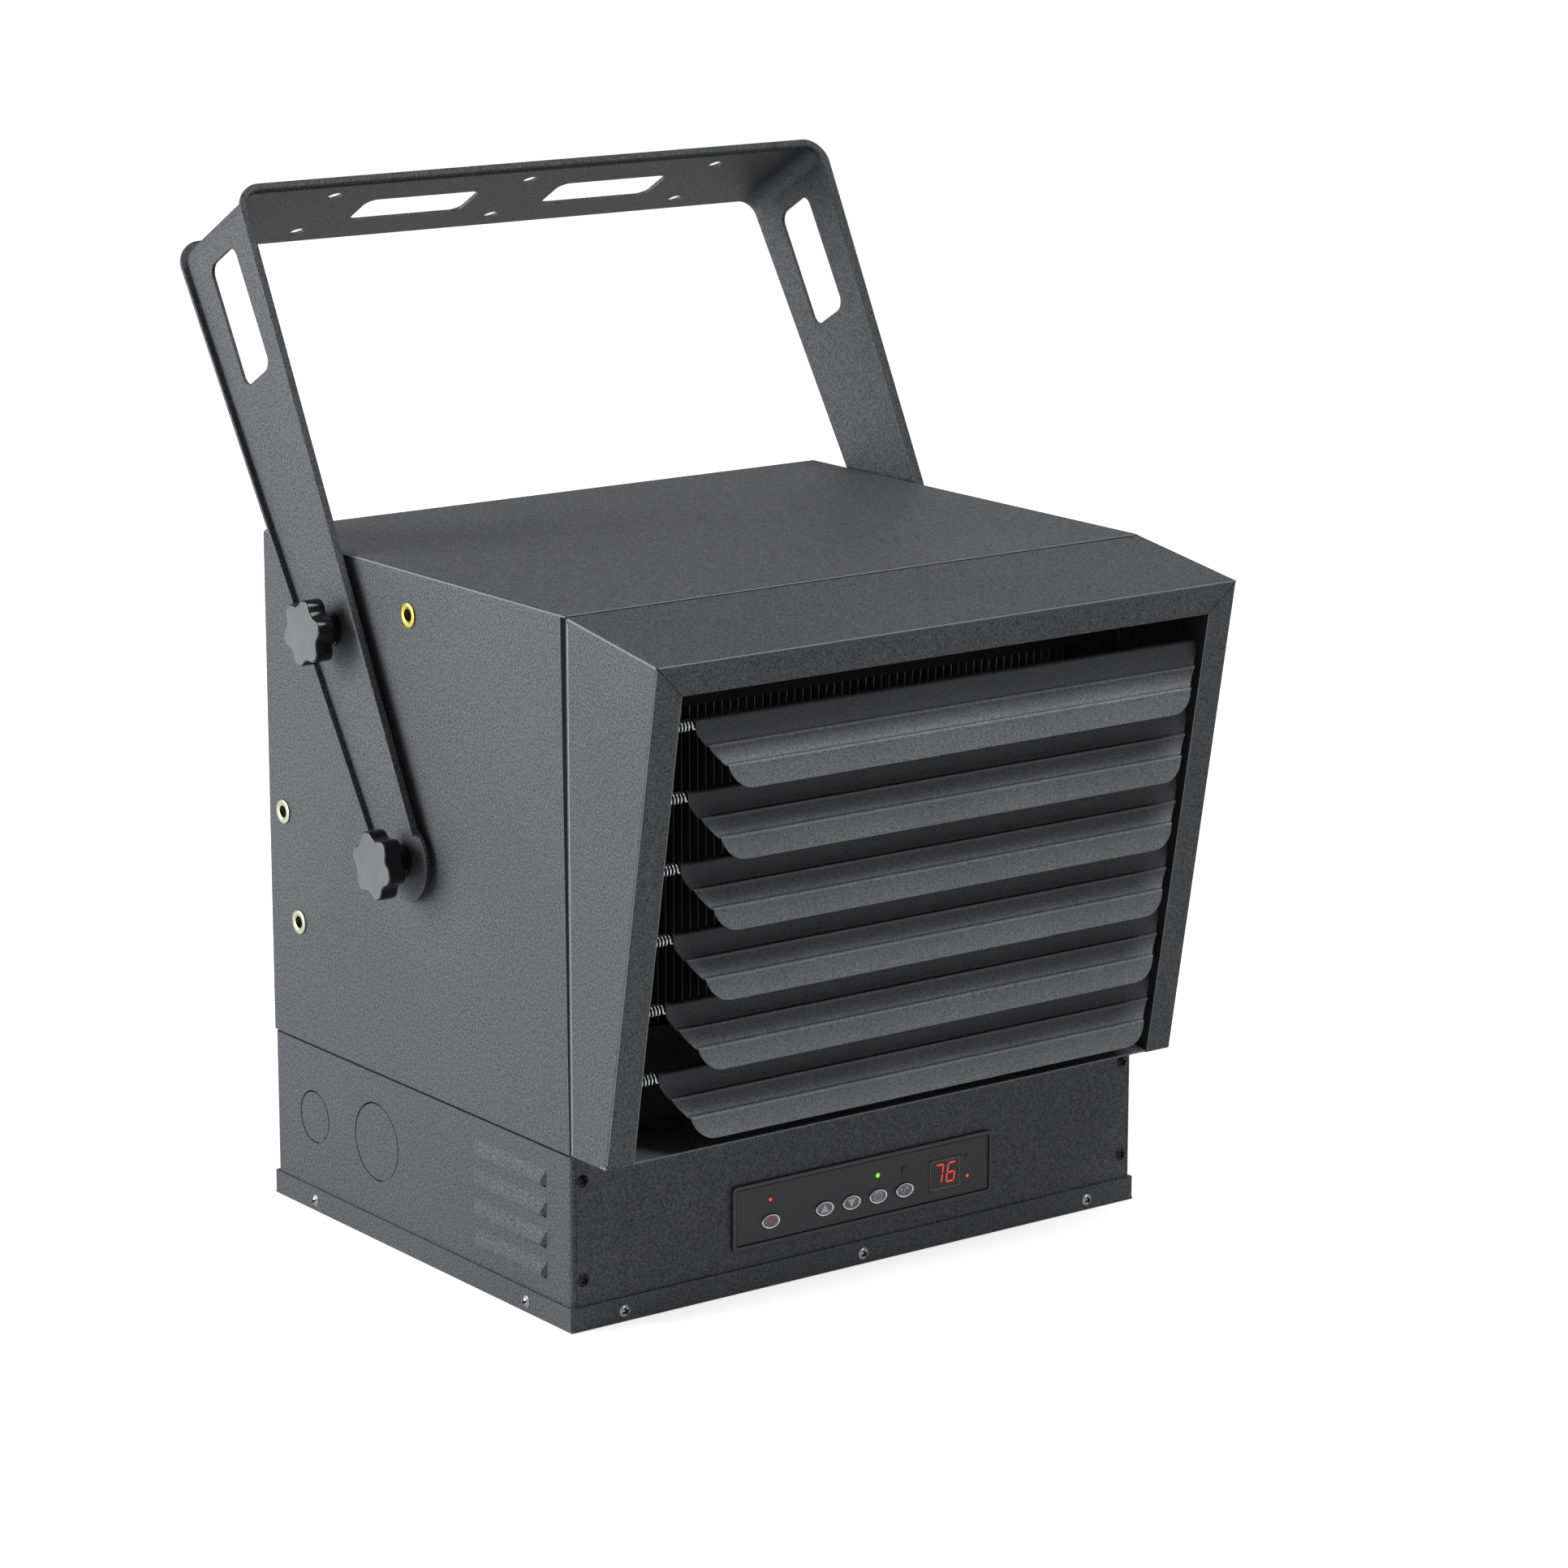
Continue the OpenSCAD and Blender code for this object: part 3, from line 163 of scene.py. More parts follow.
# Textured polyester powder coat, sprayed on steel and baked: a fine even grain of about 1 mm,
# nearly matt. Painted shade: faces that face along a given axis are darkened, and so are faces
# that look towards a given point, in metres. A louvre's list of (mm from the rod, brightness)
# paints shade by the rod and beside the ridges, and painted highlights on the ridges' crests
def powderCoat(name, low, high, grainMm, cloudMm, roughness, bump, specular, shadeAxis=None,
               paintedShading=None, shadeCentre=None):
    material, tree, shader, place = startMaterial(name)
    normal = place.node.outputs["Normal"]
    grain = addNode(tree, "TexNoise", {"Scale": 1000 / grainMm, "Detail": 2.5,
                                       "Roughness": 0.62}, {"Vector": place})
    cloud = addNode(tree, "TexNoise", {"Scale": 1000 / cloudMm, "Detail": 2}, {"Vector": place})
    tone = addNode(tree, "ValToRGB", {}, {"Fac": grain})
    for stop, position, colour in zip(tone.color_ramp.elements, (0.33, 0.7), (low, high)):
        stop.position = position
        stop.color = toLinear(colour)
    factors = [addNode(tree, "MapRange", ranged(0.3, 0.7, 0.93, 1.07), {"Value": cloud})]
    # painted shade: faces that face along the given axis are darkened
    if shadeAxis:
        facing = addNode(tree, "VectorMath", {"operation": "DOT_PRODUCT", 1: shadeAxis}, {0: normal})
        size = addNode(tree, "Math", {"operation": "ABSOLUTE"}, {0: facing.outputs["Value"]})
        factors.append(addNode(tree, "MapRange", ranged(0.5, 0.9, 1.0, 0.4), {"Value": size}))
    # painted shade and painted highlights along a louvre, set by the distance from its rod
    if paintedShading:
        reach = paintedShading[-1][0]
        fromRod = addNode(tree, "Attribute", {"attribute_name": "fromRod"})
        depth = addNode(tree, "MapRange", {"From Max": reach}, {"Value": fromRod.outputs["Fac"]})
        levels = addNode(tree, "ValToRGB", {}, {"Fac": depth})
        stops = levels.color_ramp.elements
        while len(stops) < len(paintedShading):
            stops.new(0.5)
        # a ramp holds levels up to 1, so it gets half of each and the result is doubled
        for stop, (mm, level) in zip(stops, paintedShading):
            stop.position = mm / reach
            stop.color = (level / 2, level / 2, level / 2, 1)
        factors.append(addNode(tree, "Math", {"operation": "MULTIPLY", 1: 2.0}, {0: levels}))
    # painted shade: faces that look towards the given point are darkened
    if shadeCentre:
        fromMiddle = addNode(tree, "VectorMath", {"operation": "SUBTRACT", 1: shadeCentre},
                             {0: place})
        outwards = addNode(tree, "VectorMath", {"operation": "DOT_PRODUCT"},
                           {0: fromMiddle, 1: normal})
        factors.append(addNode(tree, "MapRange", ranged(-0.02, 0.0, 0.3, 1.0),
                               {"Value": outwards.outputs["Value"]}))
    colour = tone
    for factor in factors:
        colour = addNode(tree, "VectorMath", {"operation": "SCALE"}, {0: colour, "Scale": factor})
    shader.inputs["Specular IOR Level"].default_value = specular
    joinSurface(tree, shader, colour, grain, (0.3, 0.7), (roughness + 0.06, roughness - 0.06),
                bump, 0.0004)
    return material


# Plated or bare metal: stretch makes rolling or turning marks along one axis, mottle is the
# cloudy tint that plating baths and heat leave
def metalFinish(name, low, high, markMm, mottleMm, roughness, metallic=1.0, bump=0.15,
                stretch=(1, 1, 1)):
    material, tree, shader, place = startMaterial(name)
    drawn = addNode(tree, "Mapping", {"Scale": stretch}, {"Vector": place})
    marks = addNode(tree, "TexNoise", {"Scale": 1000 / markMm, "Detail": 3}, {"Vector": drawn})
    mottle = addNode(tree, "TexNoise", {"Scale": 1000 / mottleMm, "Detail": 2,
                                        "Distortion": 0.6}, {"Vector": place})
    tone = addNode(tree, "Mix", tones(low, high), {"Factor": mottle})
    shader.inputs["Metallic"].default_value = metallic
    joinSurface(tree, shader, tone.outputs[2], marks, (0.25, 0.75),
                (roughness - 0.08, roughness + 0.08), bump, 0.0002)
    return material


# Moulded plastic: the fine spark grain of the mould, and a faint drift of tone from the flow
def mouldedPlastic(name, low, high, grainMm, flowMm, roughness, bump=0.1, subsurface=0.0):
    material, tree, shader, place = startMaterial(name)
    grain = addNode(tree, "TexNoise", {"Scale": 1000 / grainMm, "Detail": 2}, {"Vector": place})
    flow = addNode(tree, "TexNoise", {"Scale": 1000 / flowMm, "Detail": 1}, {"Vector": place})
    tone = addNode(tree, "Mix", tones(low, high), {"Factor": flow})
    shader.inputs["Subsurface Weight"].default_value = subsurface
    shader.inputs["Subsurface Scale"].default_value = 0.001
    joinSurface(tree, shader, tone.outputs[2], grain, (0.3, 0.7),
                (roughness - 0.04, roughness + 0.05), bump, 0.0002)
    return material


# Coloured acrylic lens over a lit segment or diode: its tone and its glow drift with the haze
def litLens(name, low, high, hazeMm, glow):
    material, tree, shader, place = startMaterial(name)
    haze = addNode(tree, "TexNoise", {"Scale": 1000 / hazeMm, "Detail": 1}, {"Vector": place})
    tone = addNode(tree, "Mix", tones(low, high), {"Factor": haze})
    shader.inputs["Roughness"].default_value = 0.2
    shader.inputs["Emission Strength"].default_value = glow
    linkInputs(tree, shader, {"Base Color": tone.outputs[2], "Emission Color": tone.outputs[2]})
    return material


# How far the bracket leans back from upright in the photograph, in degrees
bracketTilt = 30

# The heater's own coat: charcoal polyester powder, baked on degreased steel
coatValues = dict(low="#2a2b2d", high="#6a6b6f", grainMm=1.15, cloudMm=160, roughness=0.54,
                  bump=0.28, specular=0.3)
coat = powderCoat("charcoalPowderCoat", **coatValues)
# The bracket's thick plate: laser cut edges run along its front and back, darkened as painted shade
bracketCoat = powderCoat("bracketPowderCoat", **coatValues, shadeAxis=(
    0, cos(radians(bracketTilt)), sin(radians(bracketTilt))))
# The hood, whose inner faces are darkened: painted shade
hoodCoat = powderCoat("hoodPowderCoat", **coatValues, shadeCentre=(0, -0.18, 0.25))
# The same coat on the louvres' thin rolled sheet, where it lies a little smoother, in paler tones
# as painted light, with painted shade and painted highlights along each blade
louvreCoat = powderCoat(
    "louvreCoatPaintedLight", low="#56575b", high="#88898e", grainMm=0.95, cloudMm=60, roughness=0.5,
    bump=0.2, specular=0.3,
    paintedShading=((0, 0.3), (11.9, 0.33), (12.8, 0.18), (13.7, 0.9), (14.8, 0.45), (18, 0.75),
            (21, 1.05), (23.9, 1.6), (24.9, 0.6), (25.9, 2.0), (26.9, 1.05), (38.4, 1.25)))
# Thin coat on inner sheets, never seen in full light
innerCoat = powderCoat("innerPowderCoat", low="#2b2c2e", high="#3a3b3d", grainMm=0.8, cloudMm=120,
                       roughness=0.6, bump=0.4, specular=0.25)
# The sill under the louvres: the same coat in paler tones, painted light on a sill that lies in
# shade
sillCoat = powderCoat("sillCoatPaintedLight", low="#5c5d60", high="#919296", grainMm=1.1, cloudMm=60,
                      roughness=0.5, bump=0.3, specular=0.4)
# Painted highlight for folds and edges: the coat, smooth and pale
foldHighlightCoat = powderCoat("paintedHighlightOnFolds", low="#77797c", high="#97999d", grainMm=0.8, cloudMm=30,
                      roughness=0.4, bump=0.1, specular=0.5)
# Stove black on the plate round the heating pack, baked dull
stoveBlack = powderCoat("stoveBlackPlate", low="#121213", high="#1c1c1d", grainMm=0.9, cloudMm=90,
                        roughness=0.7, bump=0.3, specular=0.15)
# Raw edges and dust that lie in a butt joint of two coated strips, and painted shade on the side
# folds and in the panel's rim groove
jointDirtAndShade = powderCoat("jointDirtAndPaintedShade", low="#0d0e0f", high="#1a1b1c", grainMm=0.5, cloudMm=20,
                       roughness=0.75, bump=0.2, specular=0.05)
# Clear passivated zinc plate: bright, with a cool cloudy bloom
zincPlate = metalFinish("clearZincPlate", low="#8b9094", high="#b3b8bb", markMm=0.5, mottleMm=3,
                        roughness=0.34, bump=0.3)
# Yellow chromate over zinc: straw gold with greenish clouds
yellowZinc = metalFinish("yellowChromateZinc", low="#a89c3c", high="#dcd070", markMm=0.4,
                         mottleMm=3, roughness=0.3, bump=0.3)
# The same bath run thin: nearly white, faintly green
paleZinc = metalFinish("paleChromateZinc", low="#9fa994", high="#cbd0b9", markMm=0.4, mottleMm=3,
                       roughness=0.32, bump=0.3)
# Threads in the nuts' bores, in a darker brown tone, and the screws' cross recesses, dark grey
# painted shade
threadShade = metalFinish("darkBoreThread", low="#2c2716", high="#5d4f26", markMm=0.4, mottleMm=1.5,
                          roughness=0.4, bump=0.3)
recessShade = metalFinish("paintedRecessShade", low="#1b1c1e", high="#303235", markMm=0.4, mottleMm=1,
                          roughness=0.5, bump=0.3)
# Cold drawn spring and rod wire: bright, drawn lengthways
springSteel = metalFinish("drawnSteelWire", low="#d2d4d6", high="#eeeff0", markMm=0.3, mottleMm=4,
                          roughness=0.26, bump=0.05, stretch=(0.05, 1, 1))
# Steel fins after some seasons of heat: blue black oxide, brushed by the rolling marks
finSteel = metalFinish("heatDarkenedFin", low="#39393b", high="#58585a", markMm=0.5, mottleMm=30,
                       roughness=0.4, metallic=0.4, stretch=(1, 1, 0.04))
# Sheared edge of a fin, where the bare metal still shows
bareShear = metalFinish("shearedSteelEdge", low="#2f3133", high="#76797b", markMm=0.3, mottleMm=12,
                        roughness=0.35, bump=0.2)
# Steel laid bare by a knock, bright and scratched
bareFleck = metalFinish("knockedBareSteel", low="#c4c6c8", high="#e4e5e6", markMm=0.2, mottleMm=1,
                        roughness=0.3, bump=0.3)
# Hot dip galvanised sheet: grey spangle
galvanised = metalFinish("galvanisedSheet", low="#85898c", high="#a9adb0", markMm=6, mottleMm=9,
                         roughness=0.42, bump=0.05)
# Incoloy heater sheath, annealed: brown black oxide with steely patches
sheath = metalFinish("oxidisedHeaterSheath", low="#37332f", high="#5c5650", markMm=0.8, mottleMm=14,
                     roughness=0.45, metallic=0.85)
# Black oxide screw: oily black with worn steel on its high spots
blackOxide = metalFinish("blackOxideSteel", low="#1f1f21", high="#38383b", markMm=0.5, mottleMm=2,
                         roughness=0.36, metallic=0.9, bump=0.3)
# Enamelled winding wire, wound in layers round the shaft
enamelledCopper = metalFinish("enamelledCopper", low="#8c4a28", high="#b8693b", markMm=0.8,
                              mottleMm=8, roughness=0.35, bump=0.4, stretch=(1, 0.1, 1))
# Sintered bronze bush, pressed from powder and oiled: grainy and dull
sinteredBronze = metalFinish("sinteredBronze", low="#7d5f33", high="#a07f48", markMm=0.4,
                             mottleMm=2, roughness=0.5, bump=0.4)
# Vacuum plated ABS: mirror bright, with the mould's slight wave
chromePlate = metalFinish("platedAbsRim", low="#dcdce2", high="#f2f2f6", markMm=1.2, mottleMm=3,
                          roughness=0.14, bump=0.05)
# Phenolic knob, pressed in a polished mould: glossy and nearly black
glossPhenolic = mouldedPlastic("pressedPhenolic", low="#070809", high="#0d0e11", grainMm=1.2,
                               flowMm=12, roughness=0.15, bump=0.03)
# The knob's end face: matt and grey on the black phenolic, painted reflection of the light it faces
knobFaceReflection = mouldedPlastic("phenolicFacePaintedReflection", low="#595a5d", high="#67686b", grainMm=0.6,
                             flowMm=9, roughness=0.5, bump=0.35)
# Black ABS panel, spark eroded mould: fine satin with a faint violet cast
panelAbs = mouldedPlastic("mouldedBlackAbs", low="#1d1c21", high="#27252b", grainMm=0.5, flowMm=40,
                          roughness=0.34, bump=0.12)
# The same plastic in paler tones along the panel's rim crest: painted highlight
rimHighlightPlastic = mouldedPlastic("paintedHighlightAbs", low="#4e4c53", high="#66646b", grainMm=0.5, flowMm=20,
                             roughness=0.3)
# Silver grey lacquered button caps
buttonLacquer = mouldedPlastic("lacqueredButtonCap", low="#86848f", high="#9a98a4", grainMm=0.35,
                               flowMm=4, roughness=0.38, bump=0.08)
# Pad printed ink, red and white: flat, with the print's fine unevenness
redInk = mouldedPlastic("redPadPrint", low="#d03a2c", high="#e65040", grainMm=0.3, flowMm=1.5,
                        roughness=0.5)
whiteInk = mouldedPlastic("whitePadPrint", low="#eeecf2", high="#faf8fd", grainMm=0.3, flowMm=1.5,
                          roughness=0.5)
lineInk = mouldedPlastic("greyPanelLine", low="#7d7570", high="#968d87", grainMm=0.3, flowMm=3,
                         roughness=0.5)
# Smoked acrylic over the display and the receiver: polished and almost black
smokedAcrylic = mouldedPlastic("smokedAcrylic", low="#120d10", high="#1c1518", grainMm=2, flowMm=8,
                               roughness=0.1, bump=0.0)
redGlow = litLens("litRedSegment", low="#e02618", high="#ff4a34", hazeMm=1.0, glow=0.9)
greenGlow = litLens("litGreenDiode", low="#76c817", high="#b6f04e", hazeMm=0.8, glow=0.8)
darkLens = litLens("unlitRedDiode", low="#3a1614", high="#4c1d1a", hazeMm=0.8, glow=0.0)
# Natural nylon: milky and soft edged
nylon = mouldedPlastic("naturalNylon", low="#cfcabc", high="#e2dece", grainMm=0.6, flowMm=10,
                       roughness=0.42, subsurface=0.15)
# Epoxy glass board under green solder resist
board = mouldedPlastic("greenSolderResist", low="#20492f", high="#2f6642", grainMm=0.4, flowMm=7,
                       roughness=0.3)
# Relay and switch cases, plain black PBT
relayCase = mouldedPlastic("blackPbtCase", low="#191a1c", high="#222326", grainMm=0.5, flowMm=15,
                           roughness=0.4)
print("materials made:", len(bpy.data.materials))


# CAD nodes that stay: the material and the width in mm of a painted or worn soft edge, or 0
kept = {
    "casing_shell": (coat, 0.5), "rear_panel": (coat, 0.3), "hood": (hoodCoat, 0.5),
    "outlet_sill": (sillCoat, 0.3), "divider_shelf": (innerCoat, 0),
    "control_box": (coat, 0), "front_plate": (coat, 0.3), "base_tray": (coat, 0.3),
    "bracket": (bracketCoat, 0.3), "rear_guard": (zincPlate, 0), "arm_washers": (glossPhenolic, 0),
    "pivot_spacers": (nylon, 0), "control_panel": (panelAbs, 0.25),
    "display_lens": (smokedAcrylic, 0.15), "receiver_window": (smokedAcrylic, 0.2),
    "display_board": (board, 0), "key_switches": (relayCase, 0), "power_board": (board, 0),
    "relays": (relayCase, 0.4), "transformer": (galvanised, 0.3), "terminal_block": (nylon, 0.3),
    "earth_screw": (zincPlate, 0), "heater_fins": (finSteel, 0),
    "heater_tubes": (sheath, 0), "heater_frame": (stoveBlack, 0),
    "limit_switch": (glossPhenolic, 0), "motor_housing": (galvanised, 0.4),
    "motor_stator": (enamelledCopper, 0), "motor_bushes": (sinteredBronze, 0),
    "motor_mount": (zincPlate, 0), "louvre_rods": (blackOxide, 0),
    "fan_blades": (galvanised, 0), "motor_rotor": (galvanised, 0), "motor_shaft": (springSteel, 0),
}
for side in ("lower_left", "lower_right", "upper_left", "upper_right"):
    kept["knob_stud_" + side] = (zincPlate, 0)

# A soft edge: the mesh's corners joined, its flat facets too, then each sharp corner rounded
softEdge = {"weldMm": 0.002, "flatDeg": 0.3, "segments": 2, "cornerDeg": 50, "weight": 100}
for nodeName, (material, edgeMm) in kept.items():
    node = nodes[nodeName]
    node.data.materials.clear()
    node.data.materials.append(material)
    if edgeMm:
        weld = node.modifiers.new("joinCorners", "WELD")
        weld.merge_threshold = softEdge["weldMm"] / 1000
        flat = node.modifiers.new("joinFlats", "DECIMATE")
        flat.decimate_type = "DISSOLVE"
        flat.angle_limit = radians(softEdge["flatDeg"])
        edge = node.modifiers.new("softEdge", "BEVEL")
        edge.width = edgeMm / 1000
        edge.segments = softEdge["segments"]
        edge.limit_method = "ANGLE"
        edge.angle_limit = radians(softEdge["cornerDeg"])
        node.modifiers.new("evenNormals", "WEIGHTED_NORMAL").weight = softEdge["weight"]
print("CAD nodes dressed:", len(kept))


# Places shared with the CAD source, in millimetres
casing = {"half": 200, "front": -156, "rear": 156, "top": 402}
hood = {"topY": -240.75, "topZ": 388.25, "bottomY": -190.25, "bottomZ": 101.9,
        "outletHalf": 181.8}
slope = atan2(hood["bottomY"] - hood["topY"], hood["topZ"] - hood["bottomZ"])
fasciaFrame = (Matrix.Translation((0, hood["topY"], hood["topZ"]))
               @ Matrix.Rotation(radians(90) + slope, 4, "X"))
pivotZ = 237
bracketFrame = posed((0, 0, pivotZ), -bracketTilt)
mirrorX = Matrix.Scale(-1, 4, (1, 0, 0))


# Louvres: rolled strip, hemmed round its rod, with two pressed ridges
louvre = {"count": 6, "first": 39.3, "pitch": 41.2, "back": 9, "open": 43, "mid": 7.3,
          "half": 173.7, "thick": 0.8, "hem": 2.8, "hemFrom": 345, "full": 5, "ridge1": 13.7,
          "ridge2": 25.9, "edge": 38.4, "edgeR": 15, "narrow1": 4.9, "narrow2": 13.2,
          "fineFrom": 24, "fine": 0.9}
sheetLine = [(0, 2.8), (3.4, 1.1), (8, -0.6), (11.8, -0.9), (12.6, -1.4), (13.7, 0.9),
             (14.8, -0.5), (19.7, -1.2), (23.9, -1), (24.8, -1.6), (25.9, 0.8), (27, -0.5),
             (32.6, -2.1), (38.4, -4.3)]


# Middle of a louvre's rod on the hood's fascia
def rodSpot(x, k):
    return x, -louvre["first"] - k * louvre["pitch"], -louvre["back"]


# Direction of a path at its point i
def heading(path, i):
    return (path[min(i + 1, len(path) - 1)] - path[max(i - 1, 0)]).normalized()


def cornersCut(points, times):
    for _ in range(times):
        cut = [points[0]]
        for p, q in zip(points, points[1:]):
            cut += [p.lerp(q, 0.25), p.lerp(q, 0.75)]
        points = cut + [points[-1]]
    return points


# Half of a blade's width at u mm from the rod
def louvreHalf(u, v):
    inner = v["half"] - v["narrow2"]
    centre = v["edge"] - v["edgeR"]
    straight = inner - sqrt(v["edgeR"] ** 2 - (v["ridge2"] - centre) ** 2)
    if u <= v["full"]:
        return v["half"]
    if u <= v["ridge1"]:
        return v["half"] - v["narrow1"] * (u - v["full"]) / (v["ridge1"] - v["full"])
    if u <= v["ridge2"]:
        share = (u - v["ridge1"]) / (v["ridge2"] - v["ridge1"])
        return v["half"] - v["narrow1"] - (v["narrow2"] - v["narrow1"]) * share
    return straight + sqrt(max(0, v["edgeR"] ** 2 - (min(u, v["edge"]) - centre) ** 2))


def louvrePath(v):
    hem = [Vector(around(v["hem"], radians(a))) for a in range(v["hemFrom"], 90, -15)]
    sheet = cornersCut([Vector(p) for p in sheetLine], 2)
    dense = []
    for p, q in zip(sheet, sheet[1:]):
        parts = max(1, int((q - p).length / v["fine"])) if p.x > v["fineFrom"] else 1
        dense += [p.lerp(q, i / parts) for i in range(parts)]
    return hem + dense + [sheet[-1]]


def makeLouvre(k, v):
    path = louvrePath(v)
    place = fasciaFrame @ posed(rodSpot(v["mid"], k), -v["open"])
    rings = []
    for i, p in enumerate(path):
        along = heading(path, i)
        out = Vector((-along.y, along.x)) * v["thick"] / 2
        half = louvreHalf(p.x, v)
        over, under = p + out, p - out
        rings.append(moved(place, [(-half, -over.x, over.y), (half, -over.x, over.y),
                                   (half, -under.x, under.y), (-half, -under.x, under.y)]))
    bm = bmesh.new()
    skin(bm, rings)
    name = f"louvre_{k + 1}"
    blade = makePiece(f"louvreBlade{k + 1}", bm, [louvreCoat], name, [name], 30)
    # distance from the rod at each point, which places the coat's painted shade and painted
    # highlights along the blade
    distance = blade.data.attributes.new("fromRod", "FLOAT", "POINT")
    distance.data.foreach_set("value", [p.x for p in path for _ in range(4)])


for k in range(louvre["count"]):
    makeLouvre(k, louvre)
print("louvres made")


# Louvre springs: one wire each, wound round the rod at the left end. The wire starts and ends
# straight, and its first and last coils lie close
spring = {"start": -181.8, "room": 15.05, "coilR": 3.1, "wireR": 0.45, "turns": 5, "steps": 24,
          "lead": 0.375, "straight": 0.9, "close": 3.36, "sides": 10}


def springPath(v):
    total = int(v["turns"] * v["steps"] + 2 * v["lead"] * v["steps"])
    ramp = v["lead"] * v["steps"]
    speeds = [min(1, max(0, min(i, total - 1 - i) / ramp)) for i in range(total)]
    slow = v["close"] / v["steps"]
    rise = (v["room"] - 2 * v["straight"] - slow * sum(1 - s for s in speeds)) / sum(speeds)
    x, angle = v["straight"], 0.0
    path = [(0, 0.0), (x, 0.0)]
    for s in speeds:
        x += rise * s + slow * (1 - s)
        angle += 2 * pi / v["steps"] * s
        path.append((x, angle))
    path.append((v["room"], angle))
    return [Vector((px, *around(v["coilR"], a))) for px, a in path]


def tubeRings(path, radius, sides):
    rings = []
    for i, p in enumerate(path):
        along = heading(path, i)
        out = Vector((0, p.y, p.z)).normalized()
        out = (out - along * out.dot(along)).normalized()
        side = along.cross(out)
        rings.append([p + radius * (cos(a) * out + sin(a) * side) for a in turns(sides)])
    return rings


bm = bmesh.new()
wire = tubeRings(springPath(spring), spring["wireR"], spring["sides"])
for k in range(louvre["count"]):
    place = fasciaFrame @ posed(rodSpot(spring["start"], k))
    skin(bm, [moved(place, ring) for ring in wire])
makePiece("louvreSprings", bm, [springSteel], "casing", ["louvre_springs"], 60)
print("springs made")


# Knobs: pressed phenolic star grips. The roundings are (height, inset) in edge widths, sunk is the
# border of the grey face with its painted reflection
knob = {"face": 27.7, "head": 11.2, "hubR": 10, "hubX": 7.2, "turn": 12, "points": 144,
        "edge": 0.9, "upperR": 140, "lobes": 6, "lobeAt": 13.8, "lobeR": 6, "notchAt": 23,
        "notchR": 7, "waist": 17.4, "underRound": ((0, 1.6), (0.15, 0.7), (0.6, 0.12), (1.2, 0)),
        "faceRound": ((1.1, 0), (0.55, 0.1), (0.2, 0.4), (0, 0.9)),
        "sunk": ((0.02, 1.25), (0.12, 1.7))}


def starRadius(angle, v):
    step = 360 / v["lobes"]
    t = radians((degrees(angle) + step / 2) % step - step / 2)
    aside = v["lobeAt"] * sin(t)
    lobe = v["lobeAt"] * cos(t) + sqrt(max(0, v["lobeR"] ** 2 - aside ** 2))
    if abs(aside) > v["lobeR"]:
        lobe = 0
    off = radians(step / 2) - abs(t)
    room = v["notchR"] ** 2 - (v["notchAt"] * sin(off)) ** 2
    if room <= 0:
        return max(lobe, v["waist"])
    return min(max(lobe, v["waist"]), v["notchAt"] * cos(off) - sqrt(room))


def starRing(out, inset, v):
    return [(-out, *around(starRadius(a, v) - inset, a + radians(v["turn"])))
            for a in turns(v["points"])]


def makeKnob(side, matrix, v):
    e, low = v["edge"], v["face"] - v["head"]
    star = ([(low + a * e, b * e) for a, b in v["underRound"]]
            + [(v["face"] - a * e, b * e) for a, b in v["faceRound"]])
    glossyRows = len(star) - 1
    star += [(v["face"] - a, b * e) for a, b in v["sunk"]]
    bm = bmesh.new()
    skin(bm, [moved(matrix, starRing(out, inset, v)) for out, inset in star],
         lambda row, i: int(row >= glossyRows))
    # hub with a stepped collar where it meets the washer
    r, x = v["hubR"], v["hubX"]
    hub = [(0.1, x + 0.4), (r - 0.5, x), (r, x + 0.5), (r, x + 2.6), (r - 0.5, x + 3.1),
           (r - 0.5, low - 0.8), (r + 0.3, low + 0.3)]
    skin(bm, turnedRings(hub, 48, matrix @ posed((0, 0, 0), -90, "Y")))
    makePiece("knobGrip_" + side, bm, [glossPhenolic, knobFaceReflection], "knob_" + side,
              ["knob_grip_" + side], 40)


lowerPlace = posed((-casing["half"], 0, pivotZ))
upperPlace = bracketFrame @ posed((-casing["half"], 0, knob["upperR"]))
for hand, mirror in (("left", Matrix()), ("right", mirrorX)):
    makeKnob("lower_" + hand, mirror @ lowerPlace, knob)
    makeKnob("upper_" + hand, mirror @ upperPlace, knob)
print("knobs made")


# Rivet nuts: flanged steel inserts with a tapped bore, and a bulb that grips the sheet. One
# sits at the pivot, the others round it at angles from upright
nut = {"boreR": 3.4, "bodyR": 5.45, "bulb": 1.35, "flangeR": 7.2, "flange": 1.2, "length": 11,
       "thread": 1.0, "threadDepth": 0.28, "boreRow": 11, "angles": (0, 30, 90, 117),
       "radius": 140, "yellow": 3, "around": 40}


def nutProfile(v):
    body, flange, bore = v["bodyR"], v["flangeR"], v["boreR"]
    profile = [(body, v["length"]), (body, 4.7), (body + v["bulb"], 4.2), (body + v["bulb"], 1.6),
               (body, 1.2), (body, 0), (flange - 0.1, -0.02), (flange, -0.25),
               (flange - 0.1, -0.95), (flange - 0.5, -v["flange"]), (bore + 0.9, -v["flange"]),
               (bore + 0.2, -0.75)]
    depth = 0.0
    while depth < v["length"] - v["thread"]:
        profile += [(bore, depth), (bore + v["threadDepth"], depth + v["thread"] / 2)]
        depth += v["thread"]
    return profile + [(bore, v["length"]), (body, v["length"])]


